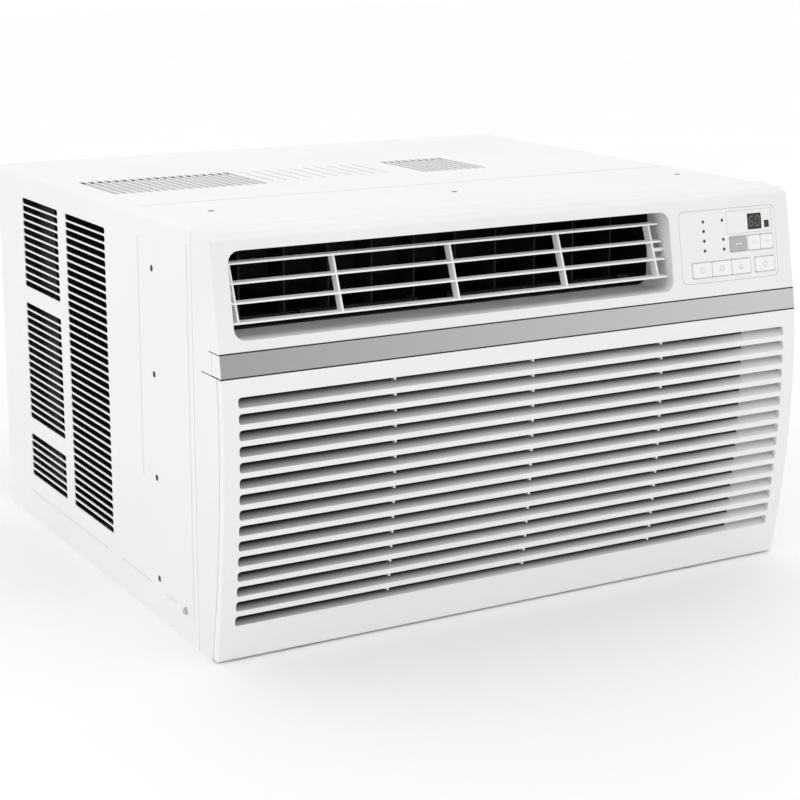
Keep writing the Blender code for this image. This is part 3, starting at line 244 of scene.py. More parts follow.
def slot_shade_painted_look(name, colour):
    """Moulded white with painted shade: its slat slopes darken towards the back of each slot.

    The painted shade is darkest at the left end of the grille, and palest where the slots are
    blind.
    """
    upward = 0.35                       # the least Z of the normal of a slat's slope
    margin = 0.0005                     # how far the shade reaches past the slots in height
    left_shade_x = (-0.28, -0.04)       # where the left end's darker painted shade gives way
    fade, fade_share, fade_depth = 0.055, 0.75, 0.72    # painted shade paling before the blind end
    look = Look(name)
    place = look.split(look.place)
    rise = look.maths("SUBTRACT", place["Z"], CREST_Z)
    above = look.maths("GREATER_THAN", rise, 0.0)
    curve = look.maths("MULTIPLY_ADD", above, UPPER_CURVE - LOWER_CURVE, LOWER_CURVE)
    face = look.maths("MULTIPLY", curve, look.maths("MULTIPLY", rise, rise))
    behind_crest = look.maths("ADD", place["Y"], CREST_DEPTH - CABINET_FRONT_Y)
    depth = look.maths("SUBTRACT", behind_crest, face)
    normal = look.split(look.place.node.outputs["Normal"])
    slope = look.maths("GREATER_THAN", normal["Z"], upward)
    slotted = look.maths("COMPARE", place["Z"], (FIRST_SLAT_Z + SLOTS_TOP) / 2,
                         (SLOTS_TOP - FIRST_SLAT_Z) / 2 + margin)
    shade = look.maths("MULTIPLY", look.maths("MULTIPLY", slope, slotted),
                       look.maths("DIVIDE", depth, SLAT_RUN))

    def shade_tones(*steps):
        """The painted shade through (share of the slat's depth, tone) steps."""
        return look.ramp(shade, [(at, tuple(c * tone for c in colour)) for at, tone in steps])

    def mixed(factor, first, second):
        """A colour mix: its colour sockets can only be told apart by number."""
        mix = look.node("ShaderNodeMix", data_type="RGBA")
        for socket, source in zip((0, 6, 7), (factor, first, second)):
            look.link(source, mix.inputs[socket])
        return mix.outputs[2]

    def across(start, end):
        """0 to 1 as X goes from start to end."""
        spread = look.node("ShaderNodeMapRange")
        look.link(place["X"], spread.inputs["Value"])
        spread.inputs["From Min"].default_value = start
        spread.inputs["From Max"].default_value = end
        return spread.outputs["Result"]

    open_slot_shade = mixed(
        across(*left_shade_x),
        shade_tones((0.02, 1.0), (0.05, 0.43), (0.42, 0.23), (0.70, 0.08), (0.84, 0.007)),
        shade_tones((0.02, 1.0), (0.05, 0.70), (0.42, 0.42), (0.70, 0.17), (0.88, 0.010)))
    blind_slot_shade = shade_tones((0.02, 1.0), (0.05, 0.84), (0.80, 0.62))
    fading = look.maths("MULTIPLY", across(BLIND_X - fade, BLIND_X),
                        look.maths("LESS_THAN", shade, fade_depth))
    blind = look.maths("MAXIMUM", look.maths("GREATER_THAN", place["X"], BLIND_X),
                       look.maths("MULTIPLY", fading, fade_share))
    look.link(mixed(blind, open_slot_shade, blind_slot_shade), look.shader.inputs["Base Color"])
    look.rough(look.noise(60.0), 0.34, 0.42)
    return look.bump(look.noise(1800.0, 2.0), 0.00004, 0.5).mat


def brushed_look(name, colour, direction, metallic):
    """Metal with a fine grain drawn out along a direction."""
    look = Look(name, metallic=metallic)
    grain = look.noise(1.0, 4.0, look.stretched(direction))
    look.colours(grain, shades(colour, 0.05))
    look.rough(grain, 0.28, 0.40)
    return look.bump(grain, 0.00002, 0.4).mat


def silver_painted_reflection_look():
    """Satin silver film with a painted reflection: deeper at the left end than at the right."""
    look = Look("satin_silver_painted_reflection", metallic=0.35)
    # Painted reflection: the colour runs from dark at the left end to pale at the right.
    along = look.maths("MULTIPLY_ADD", look.split(look.place)["X"], 1.5, 0.5)
    grain = look.noise(1.0, 4.0, look.stretched((6.0, 900.0, 900.0)))
    look.colours(look.maths("MULTIPLY_ADD", grain, 0.06, along),
                 ((0.05, (0.33, 0.32, 0.335)), (0.95, (0.56, 0.56, 0.57))))
    look.rough(grain, 0.34, 0.40)
    return look.bump(grain, 0.00001, 0.2).mat


def galvanised_look():
    """Zinc-coated sheet with its spangle."""
    look = Look("galvanised", metallic=0.85)
    spangle = look.cells(160.0, "Color")
    look.colours(spangle, ((0.2, (0.40, 0.42, 0.43)), (0.8, (0.60, 0.62, 0.63))))
    look.rough(look.cells(160.0), 0.32, 0.52)
    return look.bump(look.noise(900.0), 0.00002, 0.3).mat


def copper_look():
    look = Look("drawn_copper", metallic=1.0)
    look.colours(look.noise(45.0, 6.0), ((0.30, (0.42, 0.20, 0.12)), (0.60, (0.80, 0.44, 0.28))))
    return look.rough(look.noise(90.0), 0.24, 0.42).mat


def foam_look():
    look = Look("bead_foam", roughness=0.9)
    beads = look.cells(320.0)
    look.colours(beads, ((0.1, (0.78, 0.78, 0.76)), (0.8, (0.62, 0.62, 0.60))))
    return look.bump(beads, 0.0003, 0.5).mat


def mesh_look():
    """Fine woven filter net: square threads with dark holes."""
    look = Look("filter_net", roughness=0.75)
    threads = []
    for direction in ("X", "Z"):
        wave = look.node("ShaderNodeTexWave", bands_direction=direction)
        wave.inputs["Scale"].default_value = 160.0
        look.link(look.place, wave.inputs["Vector"])
        threads.append(wave.outputs["Fac"])
    weave = look.maths("MAXIMUM", *threads)
    look.colours(weave, ((0.45, (0.012, 0.013, 0.015)), (0.9, (0.10, 0.11, 0.13))))
    return look.bump(weave, 0.0003, 0.6).mat


def board_look():
    look = Look("solder_mask", roughness=0.35)
    look.colours(look.cells(260.0), ((0.05, (0.30, 0.42, 0.20)), (0.12, (0.02, 0.13, 0.06))))
    return look.bump(look.noise(700.0), 0.00005, 0.4).mat


def glow_look(name, colour, strength):
    look = Look(name, roughness=0.3, Emission_Strength=strength)
    look.shader.inputs["Emission Color"].default_value = (*colour, 1.0)
    look.colours(look.noise(800.0), shades(tuple(c * 0.3 for c in colour), 0.05))
    return look.mat


WHITE_STEEL = plain_look("powder_coat", (0.81, 0.81, 0.822), grain=1100.0, depth=0.00006)
WHITE_PLASTIC = plain_look("moulded_white", (0.795, 0.795, 0.806), rough=(0.34, 0.42))
LOUVRE_WHITE = plain_look("louvre_white", (0.87, 0.87, 0.88), rough=(0.34, 0.42))
# Painted shade in the slots; the white, a touch lighter than the bezel's, is painted light.
GRILLE_WHITE_PAINTED_SHADE = slot_shade_painted_look("slatted_white_painted_shade", (0.82, 0.82, 0.831))
# The cabinet's white steel painted grey, as the shade of the pressed lines.
PRESSED_STEEL_PAINTED_SHADE = plain_look("pressed_edge_painted_shade", (0.70, 0.70, 0.712), grain=1100.0, depth=0.00006)
# The cabinet's white steel painted darker, as shade, for the flaps under the top slots.
VENT_STEEL_PAINTED_SHADE = plain_look("vent_steel_painted_shade", (0.56, 0.56, 0.57), grain=1100.0, depth=0.00006)
# Painted shade for the inside of the cabinet.
INNER_PAINTED_SHADE = plain_look("inner_painted_shade", (0.030, 0.030, 0.032), rough=(0.55, 0.7), spread=0.08)
# Near black for painted shadow: in the band gaps, the screw holes and at the coil's ends.
PAINTED_SHADOW = plain_look("painted_shadow", (0.018, 0.018, 0.020), rough=(0.6, 0.7), spread=0.05)
PALE_PANEL = plain_look("panel_film", (0.80, 0.80, 0.808), rough=(0.22, 0.28), grain=2600.0,
                        depth=0.00001)
PALE_KEY = plain_look("key_film", (0.83, 0.83, 0.837), rough=(0.24, 0.30), grain=2600.0,
                      depth=0.00001)
GREY_KEY = plain_look("key_grey", (0.42, 0.42, 0.43), rough=(0.24, 0.30), grain=2600.0,
                      depth=0.00001)
SILVER_PAINTED_REFLECTION = silver_painted_reflection_look()
DARK_PLASTIC = plain_look("moulded_black", (0.006, 0.006, 0.007), rough=(0.55, 0.65),
                          spread=0.15, Specular_IOR_Level=0.3)
GALVANISED = galvanised_look()
FIN_METAL = brushed_look("fin_stock", (0.80, 0.82, 0.83), (40.0, 40.0, 500.0), metallic=0.35)
COPPER = copper_look()
BLACK_PAINT = plain_look("black_enamel", (0.012, 0.012, 0.013), rough=(0.25, 0.38), spread=0.1)
FOAM = foam_look()
FILTER_NET = mesh_look()
RUBBER = plain_look("black_rubber", (0.014, 0.014, 0.014), rough=(0.75, 0.9), spread=0.1)
BOARD = board_look()
SMOKED = plain_look("smoked_lens", (0.012, 0.014, 0.009), rough=(0.06, 0.12), spread=0.1,
                    depth=0.00001)
LED_DARK = plain_look("unlit_led", (0.035, 0.035, 0.04), rough=(0.15, 0.25), spread=0.1)
INK = plain_look("grey_ink", (0.43, 0.43, 0.44), rough=(0.4, 0.5), spread=0.04)
WHITE_INK = plain_look("white_ink", (0.85, 0.85, 0.86), rough=(0.4, 0.5), spread=0.02)
DIGITS = glow_look("display_digits", (0.13, 0.145, 0.070), 0.75)
SCREW_METAL = brushed_look("zinc_screw", (0.55, 0.55, 0.56), (300.0, 300.0, 300.0), metallic=0.9)

NODE_LOOKS = {
    WHITE_PLASTIC: ("front_bezel",),
    LOUVRE_WHITE: ("louvre_frame",),
    GRILLE_WHITE_PAINTED_SHADE: ("intake_grille",),
    PALE_PANEL: ("control_overlay",),
    PALE_KEY: tuple(k for k in KEYS if k != "key_mode"),
    GREY_KEY: ("key_mode",),
    SILVER_PAINTED_REFLECTION: ("trim_band",),
    SMOKED: ("display_window", "ir_window"),
    LED_DARK: ("led_light_guide",),
    FILTER_NET: ("air_filter",),
    GALVANISED: ("cabinet_base", "base_pan", "bulkhead", "motor_bracket", "control_box",
                 "control_box_cover", "run_capacitor", "motor_shaft"),
    COPPER: ("suction_pipe", "discharge_pipe", "liquid_pipe"),
    BLACK_PAINT: ("compressor", "accumulator", "fan_motor"),
    FOAM: ("blower_orifice", "drip_tray"),
    RUBBER: ("compressor_grommet_1", "compressor_grommet_2", "compressor_grommet_3"),
    BOARD: ("control_board", "power_board"),
    WHITE_STEEL: ("cabinet_sleeve",),
    FIN_METAL: ("condenser_coil", "evaporator_coil"),
}
NODE_MATERIAL = {node: look for look, nodes in NODE_LOOKS.items() for node in nodes}
BODY_OF = {node: body for body, nodes in frame["record"]["behaviour"]["bodies"].items()
           for node in nodes}


# ---------------------------------------------------------------- piece helpers
def piece(name, bm, look, body="housing", smooth=35.0):
    """A finished mesh that rides on a body, smooth across edges gentler than an angle."""
    bmesh.ops.recalc_face_normals(bm, faces=bm.faces)
    for face in bm.faces:
        face.smooth = True
    for edge in bm.edges:
        if len(edge.link_faces) != 2 or edge.calc_face_angle(0.0) > math.radians(smooth):
            edge.smooth = False
    mesh = bpy.data.meshes.new(name)
    bm.to_mesh(mesh)
    bm.free()
    obj = bpy.data.objects.new(name, mesh)
    bpy.context.scene.collection.objects.link(obj)
    mesh.materials.append(look)
    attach(obj, body)
    return obj


def softened(node, width):
    """A CAD node with its corners rounded, standing in for the plain one."""
    weld, flat, sharp = 2e-6, math.radians(0.4), math.radians(40.0)
    bm = bmesh.new()
    bm.from_mesh(frame["nodes"][node].data)
    bmesh.ops.remove_doubles(bm, verts=bm.verts, dist=weld)
    bmesh.ops.dissolve_limit(bm, angle_limit=flat, verts=bm.verts, edges=bm.edges)
    corners = [e for e in bm.edges if len(e.link_faces) == 2 and e.calc_face_angle(0.0) > sharp]
    bmesh.ops.bevel(bm, geom=corners, offset=width, segments=2, profile=0.5,
                    affect="EDGES", clamp_overlap=True)
    obj = piece(f"{node}_look", bm, NODE_MATERIAL.get(node, DARK_PLASTIC), BODY_OF[node])
    obj.modifiers.new("even normals", "WEIGHTED_NORMAL").keep_sharp = True
    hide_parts(node)
    return obj


def add_box(bm, x, y, z):
    """A box between the two values of each axis."""
    corners = [bm.verts.new((a, b, c)) for a in x for b in y for c in z]
    for quad in ((0, 1, 3, 2), (4, 6, 7, 5), (0, 4, 5, 1), (2, 3, 7, 6), (0, 2, 6, 4),
                 (1, 5, 7, 3)):
        bm.faces.new([corners[i] for i in quad])


def add_prism(bm, lower, upper):
    """A solid between two outlines of as many points."""
    low = [bm.verts.new(p) for p in lower]
    high = [bm.verts.new(p) for p in upper]
    bm.faces.new(low)
    bm.faces.new(reversed(high))
    for i in range(len(low)):
        j = (i + 1) % len(low)
        bm.faces.new((low[j], low[i], high[i], high[j]))


def rounded(u, v, radius, steps=6):
    """The outline of a rectangle with round corners."""
    points = []
    for cu, cv, quarter in ((u[1], v[1], 0), (u[0], v[1], 1), (u[0], v[0], 2), (u[1], v[0], 3)):
        mid_u = cu - math.copysign(radius, cu - sum(u) / 2)
        mid_v = cv - math.copysign(radius, cv - sum(v) / 2)
        for i in range(steps + 1):
            angle = (quarter + i / steps) * math.pi / 2
            points.append((mid_u + radius * math.cos(angle), mid_v + radius * math.sin(angle)))
    return points


def quarter(centre, radius, side):
    """A quarter circle from the top of the centre round to its left or right side."""
    points = []
    for i in range(CORNER_STEPS + 1):
        angle = i / CORNER_STEPS * math.pi / 2
        points.append((centre[0] + side * radius * math.sin(angle),
                       centre[1] + radius * math.cos(angle)))
    return points


def ring_of(centre, radius, sides):
    return [(centre[0] + radius * math.cos(math.tau * i / sides),
             centre[1] + radius * math.sin(math.tau * i / sides)) for i in range(sides)]


def pierced_sheet(outline, holes, thick):
    """A flat sheet in XY with holes through it, its upper side at z = 0."""
    curve = bpy.data.curves.new("sheet", "CURVE")
    curve.dimensions = "2D"
    curve.fill_mode = "BOTH"
    curve.extrude = thick / 2
    for loop in (outline, *holes):
        spline = curve.splines.new("POLY")
        spline.points.add(len(loop) - 1)
        for point, (u, v) in zip(spline.points, loop):
            point.co = (u, v, 0.0, 1.0)
        spline.use_cyclic_u = True
    maker = bpy.data.objects.new("sheet", curve)
    bpy.context.scene.collection.objects.link(maker)
    mesh = bpy.data.meshes.new_from_object(maker.evaluated_get(
        bpy.context.evaluated_depsgraph_get()))
    bpy.data.objects.remove(maker, do_unlink=True)
    bpy.data.curves.remove(curve)
    bm = bmesh.new()
    bm.from_mesh(mesh)
    bpy.data.meshes.remove(mesh)
    for vert in bm.verts:
        vert.co.z -= thick / 2
    return bm


def gather(target, source, place):
    """Adds a mesh to another, each point moved by a function."""
    for vert in source.verts:
        vert.co = Vector(place(vert.co))
    mesh = bpy.data.meshes.new("part")
    source.to_mesh(mesh)
    source.free()
    target.from_mesh(mesh)
    bpy.data.meshes.remove(mesh)


# ---------------------------------------------------------------- cabinet
def vent_rows():
    """(y range, middle z) of each slot in a side."""
    first = VENT_TOP_Z - VENT_SLOT / 2
    for row in range(FRONT_VENT_COUNT):
        yield FRONT_VENT_Y, first - row * VENT_PITCH
    for start, count in REAR_VENTS:
        for row in range(start, start + count):
            yield REAR_VENT_Y, first - row * VENT_PITCH


def top_slots():
    """The left end of each slot in the top."""
    for start, count in TOP_VENTS:
        for i in range(count):
            yield start + i * TOP_VENT_PITCH


def add_panels(shell):
    """The two sides and the top, with their slots and holes."""
    for side in (-1, 1):
        holes = [rounded(y, (z - VENT_SLOT / 2, z + VENT_SLOT / 2), VENT_CORNER_R, 3)
                 for y, z in vent_rows()]
        holes += [ring_of((SCREW_LINE_Y, z), SCREW_HOLE_R, HOLE_SIDES) for z in SIDE_SCREWS_Z]
        top = HEIGHT - EDGE_R
        outline = [(CABINET_FRONT_Y, 0.0), (REAR_Y, 0.0), (REAR_Y, top), (CABINET_FRONT_Y, top)]
        gather(shell, pierced_sheet(outline, holes, SHEET),
               lambda p, s=side: (s * (HALF_W + p.z), p.x, p.y))

    holes = [rounded((x, x + VENT_SLOT), TOP_VENT_Y, VENT_CORNER_R, 3) for x in top_slots()]
    step = (SLIT_X[1] - SLIT_X[0]) / (SLIT_COUNT - 1)
    for i in range(SLIT_COUNT):
        x = SLIT_X[0] + i * step
        holes.append(rounded((x - SLIT_WIDTH / 2, x + SLIT_WIDTH / 2), SLIT_Y,
                             SLIT_WIDTH * 0.49, 4))
    holes += [ring_of((x, SCREW_LINE_Y), SCREW_HOLE_R, HOLE_SIDES) for x in TOP_SCREWS_X]
    outline = [(-EDGE_X, CABINET_FRONT_Y), (EDGE_X, CABINET_FRONT_Y), (EDGE_X, REAR_Y),
               (-EDGE_X, REAR_Y)]
    gather(shell, pierced_sheet(outline, holes, SHEET), lambda p: (p.x, p.y, HEIGHT + p.z))


def add_folds(shell):
    """The round folds between the top and the sides."""
    for side in (-1, 1):
        centre = (side * EDGE_X, HEIGHT - EDGE_R)
        loop = quarter(centre, EDGE_R, side) + quarter(centre, EDGE_R - SHEET, side)[::-1]
        add_prism(shell, [(x, CABINET_FRONT_Y, z) for x, z in loop],
                  [(x, REAR_Y, z) for x, z in loop])


def add_rear_flange(shell):
    """The flange turned in round the back, in pieces that don't overlap."""
    y = (REAR_Y - SHEET, REAR_Y)
    for side in (-1, 1):
        x = sorted((side * (HALF_W - SHEET), side * (HALF_W - FLANGE)))
        add_box(shell, x, y, (0.0, HEIGHT - EDGE_R))
        centre = (side * EDGE_X, HEIGHT - EDGE_R)
        corner = [centre, *quarter(centre, EDGE_R - SHEET, side)]
        add_prism(shell, [(x, y[0], z) for x, z in corner], [(x, y[1], z) for x, z in corner])
        x = sorted((side * (HALF_W - FLANGE), side * EDGE_X))
        add_box(shell, x, y, (HEIGHT - EDGE_R, HEIGHT - SHEET))
    add_box(shell, (FLANGE - HALF_W, HALF_W - FLANGE), y, (HEIGHT - FLANGE, HEIGHT - SHEET))


def make_cabinet():
    """The sleeve: its slots are cut clean through, and its inner faces are painted dark as shade.
    """
    shell = bmesh.new()
    add_panels(shell)
    add_folds(shell)
    add_rear_flange(shell)
    obj = piece("cabinet_shell", shell, WHITE_STEEL)
    obj.data.materials.append(INNER_PAINTED_SHADE)
    near, square = 1e-5, 0.9
    # The inner faces of the sides and the top take the painted shade.
    for face in obj.data.polygons:
        side = abs(abs(face.center.x) - HALF_W + SHEET) < near and abs(face.normal.x) > square
        roof = abs(face.center.z - HEIGHT + SHEET) < near and abs(face.normal.z) > square
        face.material_index = int(side or roof)
    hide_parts("cabinet_sleeve")


def make_vent_flaps():
    """The tongues of steel bent in behind each vent."""
    thick, end_gap = 0.0006, 0.0025
    wall, tip, drop = HALF_W - SHEET, HALF_W - 0.0040, 0.0021
    bm = bmesh.new()
    for side in (-1, 1):
        for (front, back), z in vent_rows():
            low = z - VENT_SLOT / 2
            outline = [(wall, low), (wall, low - thick), (tip, low - drop - thick),
                       (tip, low - drop)]
            add_prism(bm, [(side * x, front + end_gap, v) for x, v in outline],
                      [(side * x, back - end_gap, v) for x, v in outline])
    piece("side_vent_flaps", bm, WHITE_STEEL)

    top, drop, lip = HEIGHT - SHEET, 0.0026, (0.0014, 0.0008)
    front, back = TOP_VENT_Y[0] + 0.002, TOP_VENT_Y[1] - 0.006
    bm = bmesh.new()
    for x in top_slots():
        right = x + VENT_SLOT
        outline = [(right, top), (right + thick, top), (x + lip[0], top - drop),
                   (x + lip[1], top - drop)]
        add_prism(bm, [(u, front, v) for u, v in outline], [(u, back, v) for u, v in outline])
    # The top flaps carry the darker steel of painted shade.
    piece("top_vent_flaps", bm, VENT_STEEL_PAINTED_SHADE)


def add_ridge(bm, start, end, across, out):
    """A shallow pressed line from start to end, standing out of a sheet."""
    start, end, across, out = map(Vector, (start, end, across, out))
    profile = ((-0.5, 0.0), (-0.22, 1.0), (0.22, 1.0), (0.5, 0.0))
    section = [across * a * LINE_WIDTH + out * b * LINE_HEIGHT for a, b in profile]
    add_prism(bm, [start + p for p in section], [end + p for p in section])


def make_pressings():
    """The lines pressed into the sides and the top, painted grey as the shade of their relief."""
    bm = bmesh.new()
    for side in (-1, 1):
        x = side * HALF_W
        out = (side, 0, 0)
        for y, low, high in UPRIGHT_LINES:
            add_ridge(bm, (x, y, low), (x, y, high), (0, 1, 0), out)
        for start, end, z in LEVEL_LINES:
            add_ridge(bm, (x, start, z), (x, end, z), (0, 0, 1), out)
    start, end, y = TOP_LINE
    add_ridge(bm, (start, y, HEIGHT), (end, y, HEIGHT), (0, 1, 0), (0, 0, 1))
    piece("pressed_lines", bm, PRESSED_STEEL_PAINTED_SHADE)


def make_hole_shadows():
    """Painted shadow in the curtain and rail screw holes: dark discs a hair above the sheet."""
    bm = bmesh.new()
    for side in (-1, 1):
        x = side * (HALF_W + HOLE_SHADOW_PROUD)
        for z in SIDE_SCREWS_Z:
            ring = ring_of((SCREW_LINE_Y, z), HOLE_SHADOW_R, HOLE_SIDES)
            add_prism(bm, [(x, a, b) for a, b in ring], [(x - side * SHEET, a, b) for a, b in ring])
    for x in TOP_SCREWS_X:
        ring = ring_of((x, SCREW_LINE_Y), HOLE_SHADOW_R, HOLE_SIDES)
        add_prism(bm, [(a, b, HEIGHT + HOLE_SHADOW_PROUD) for a, b in ring],
                  [(a, b, HEIGHT + HOLE_SHADOW_PROUD - SHEET) for a, b in ring])
    piece("hole_shadows", bm, PAINTED_SHADOW)


def add_screw(bm, centre, axis, radius):
    """A hexagon washer-head screw, standing out along an axis."""
    washer_size, head_taper = 1.35, 0.88
    centre, axis = Vector(centre), Vector(axis)
    turn = axis.to_track_quat("Z", "Y")
    washer_top, head_top = axis * 0.0006, axis * 0.0026
    washer = [turn @ Vector((*p, 0.0)) for p in ring_of((0, 0), radius * washer_size, 20)]
    add_prism(bm, [centre + p for p in washer], [centre + p + washer_top for p in washer])
    head = [turn @ Vector((*p, 0.0)) for p in ring_of((0, 0), radius, 6)]
    add_prism(bm, [centre + p + washer_top for p in head],
              [centre + p * head_taper + head_top for p in head])


def make_screws():
    """One screw low on each side, and the screws of the rear flange."""
    bm = bmesh.new()
    for side in (-1, 1):
        add_screw(bm, (side * HALF_W, *FOOT_SCREW), (side, 0, 0), FOOT_SCREW_R)
        for z in REAR_SCREWS_Z:
            add_screw(bm, (side * (HALF_W - SCREW_INSET), REAR_Y, z), (0, 1, 0), REAR_SCREW_R)
    for x in REAR_SCREWS_X:
        add_screw(bm, (x, REAR_Y, HEIGHT - SCREW_INSET), (0, 1, 0), REAR_SCREW_R)
    piece("cabinet_screws", bm, SCREW_METAL, smooth=20.0)


# ---------------------------------------------------------------- front
def make_slot_fillets():
    """Rounded ends for the intake slots, and the webs that tie the slats together."""
    radius, steps = 0.0030, 6
    rooted = 0.0002                     # how far each piece reaches into the grille around it
    behind, deep = 0.00002, 0.0016      # where a corner starts and ends, behind the face
    web_half, web_drop, web_y = 0.0007, 0.0022, (0.0004, 0.0066)
    bm = bmesh.new()
    slats = [FIRST_SLAT_Z + SLOT_PITCH * (i + 1) - SLAT_FACE for i in range(SLOT_COUNT - 1)]
    tops = [*slats, SLOTS_TOP]
    bottoms = [FIRST_SLAT_Z, *[z + SLAT_FACE for z in slats]]
    for end, sign in ((SLOTS_X[0], 1), (SLOTS_X[1], -1)):
        for low, high in zip(bottoms, tops):
            for corner_z, up in ((low, 1), (high, -1)):
                loop = [(end - sign * rooted, corner_z - up * rooted)]
                for i in range(steps + 1):
                    angle = i / steps * math.pi / 2
                    loop.append((end + sign * radius * (1 - math.sin(angle)),
                                 corner_z + up * radius * (1 - math.cos(angle))))
                add_prism(bm, [(x, face_y(z) + behind, z) for x, z in loop],
                          [(x, face_y(z) + deep, z) for x, z in loop])
    for z in tops:
        for x in RIBS_X:
            add_box(bm, (x - web_half, x + web_half), [face_y(z) + y for y in web_y],
                    (z - web_drop, z + rooted))
    piece("slot_corners", bm, GRILLE_WHITE_PAINTED_SHADE, "grille")


def make_band():
    """The trim band, silver on its front and white where it turns the corners."""
    band = softened("trim_band", 0.0006)
    band.data.materials.append(WHITE_PLASTIC)
    sideways = 0.8
    for face in band.data.polygons:
        face.material_index = int(abs(face.normal.x) > sideways)


def make_band_seam_shadows():
    """Painted shadow: dark strips in the gaps above and below the trim band."""
    half_front, half_side = 0.0009, 0.0004
    half_length, sunk = HALF_W - 0.0002, 0.0010
    bm = bmesh.new()
    for z, side_y in BAND_SEAM_SHADOWS:
        y = face_y(z)
        add_box(bm, (-half_length, half_length), (y - PRINT_LIFT, y + sunk),
                (z - half_front, z + half_front))
        for side in (-1, 1):
            x = sorted((side * (HALF_W - 0.0006), side * (HALF_W + PRINT_LIFT)))
            add_box(bm, x, (y, side_y), (z - half_side, z + half_side))
    piece("band_seam_shadows", bm, PAINTED_SHADOW)


def add_ribbon(bm, points, width, lift, closed=False):
    """A printed line on the leaning face, through (x, z) points."""
    count = len(points)
    left, right = [], []
    for i, (x, z) in enumerate(points):
        before = points[(i - 1) % count] if closed or i else points[i]
        after = points[(i + 1) % count] if closed or i < count - 1 else points[i]
        along = Vector((after[0] - before[0], after[1] - before[1])).normalized()
        offset = Vector((-along.y, along.x)) * width / 2
        left.append(bm.verts.new(on_face(x + offset.x, z + offset.y, lift)))
        right.append(bm.verts.new(on_face(x - offset.x, z - offset.y, lift)))
    for i in range(count if closed else count - 1):
        j = (i + 1) % count
        bm.faces.new((left[i], left[j], right[j], right[i]))


def arc(centre, radius, start, end, steps=20):
    """Points on a circle from one angle to another, in degrees."""
    angles = [math.radians(start + (end - start) * i / steps) for i in range(steps + 1)]
    return [(centre[0] + radius * math.cos(a), centre[1] + radius * math.sin(a)) for a in angles]


def key_symbol(name, x, z):
    """Lines of (x, z) points for the pictogram on a key."""
    if name == "key_mode":
        return [[(x + d - 0.0009, z), (x + d + 0.0009, z)] for d in (-0.0026, 0.0, 0.0026)]
    if name == "key_temp_down":
        return [[(x - 0.0022, z + 0.0011), (x, z - 0.0011), (x + 0.0022, z + 0.0011)]]
    if name == "key_temp_up":
        return [[(x - 0.0022, z - 0.0011), (x, z + 0.0011), (x + 0.0022, z - 0.0011)]]
    if name == "key_timer":
        return [arc((x, z), 0.0026, 0, 360), [(x, z + 0.0015), (x, z), (x + 0.0012, z - 0.0006)]]
    if name == "key_fan_speed":
        blades = ((90, 0.0, 0.0014), (210, -0.0012124, -0.0007), (330, 0.0012124, -0.0007))
        return [arc((x + dx, z + dz), 0.0013, a - 100, a + 140) for a, dx, dz in blades]
    if name == "key_energy_saver":
        return [arc((x, z), 0.0026, 100, 350),
                [(x - 0.0014, z - 0.0012), (x + 0.0016, z + 0.0016)]]
    return [arc((x, z), 0.0024, 125, 415), [(x, z + 0.0008), (x, z + 0.0032)]]


def make_key_prints():
    """The pictogram on each key, riding with it."""
    for name, (xs, zs) in KEYS.items():
        bm = bmesh.new()
        look, width = INK, SYMBOL_WIDTH
        if name == "key_mode":
            look, width = WHITE_INK, MODE_SYMBOL_WIDTH
        for line in key_symbol(name, sum(xs) / 2, sum(zs) / 2):
            add_ribbon(bm, line, width, KEY_PROUD + PRINT_LIFT)
        piece(f"{name}_symbol", bm, look, BODY_OF[name])


def make_panel_print():
    """The outlines round the display and round each group of keys."""
    groups = [DISPLAY_FRAME]
    for first, last in OUTLINED_KEYS:
        (low_x, _), (low_z, high_z) = KEYS[first]
        groups.append(((low_x - OUTLINE_GAP, KEYS[last][0][1] + OUTLINE_GAP),
                       (low_z - OUTLINE_GAP, high_z + OUTLINE_GAP)))
    bm = bmesh.new()
    for x, z in groups:
        add_ribbon(bm, rounded(x, z, OUTLINE_R), OUTLINE_WIDTH, PRINT_LIFT, closed=True)
    piece("panel_outlines", bm, INK)


def make_digits():
    """Two seven-segment figures on the display window."""
    tall, wide, lean = 0.0088, 0.0042, 0.0006
    stroke, gap, lift = 0.0009, 0.0005, 0.00005
    figures = ((-0.0061, "acdefg"), (0.0013, "abcdef"))     # start from the middle, lit segments
    segments = {
        "a": ((0, 1), (1, 1)), "b": ((1, 1), (1, 0.5)), "c": ((1, 0.5), (1, 0)),
        "d": ((0, 0), (1, 0)), "e": ((0, 0), (0, 0.5)), "f": ((0, 0.5), (0, 1)),
        "g": ((0, 0.5), (1, 0.5)),
    }
    base_z = sum(DISPLAY[1]) / 2 - tall / 2
    middle_x = sum(DISPLAY[0]) / 2
    bm = bmesh.new()
    for start, lit in figures:
        for name in lit:
            first, last = [Vector((middle_x + start + u * wide + v * lean, base_z + v * tall))
                           for u, v in segments[name]]
            inset = (last - first).normalized() * gap
            add_ribbon(bm, [tuple(first + inset), tuple(last - inset)], stroke, lift)
    piece("display_digits", bm, DIGITS)


# ---------------------------------------------------------------- coils
def add_tube(bm, points, radius, sides=10):
    """A round tube through points, closed at both ends."""
    rings = []
    for i, point in enumerate(points):
        ahead = points[min(i + 1, len(points) - 1)] - points[max(i - 1, 0)]
        turn = ahead.to_track_quat("Z", "Y")
        rings.append([bm.verts.new(point + turn @ Vector((*p, 0.0)))
                      for p in ring_of((0, 0), radius, sides)])
    for near, far in zip(rings, rings[1:]):
        for i in range(sides):
            j = (i + 1) % sides
            bm.faces.new((near[i], near[j], far[j], far[i]))
    bm.faces.new(rings[0])
    bm.faces.new(reversed(rings[-1]))


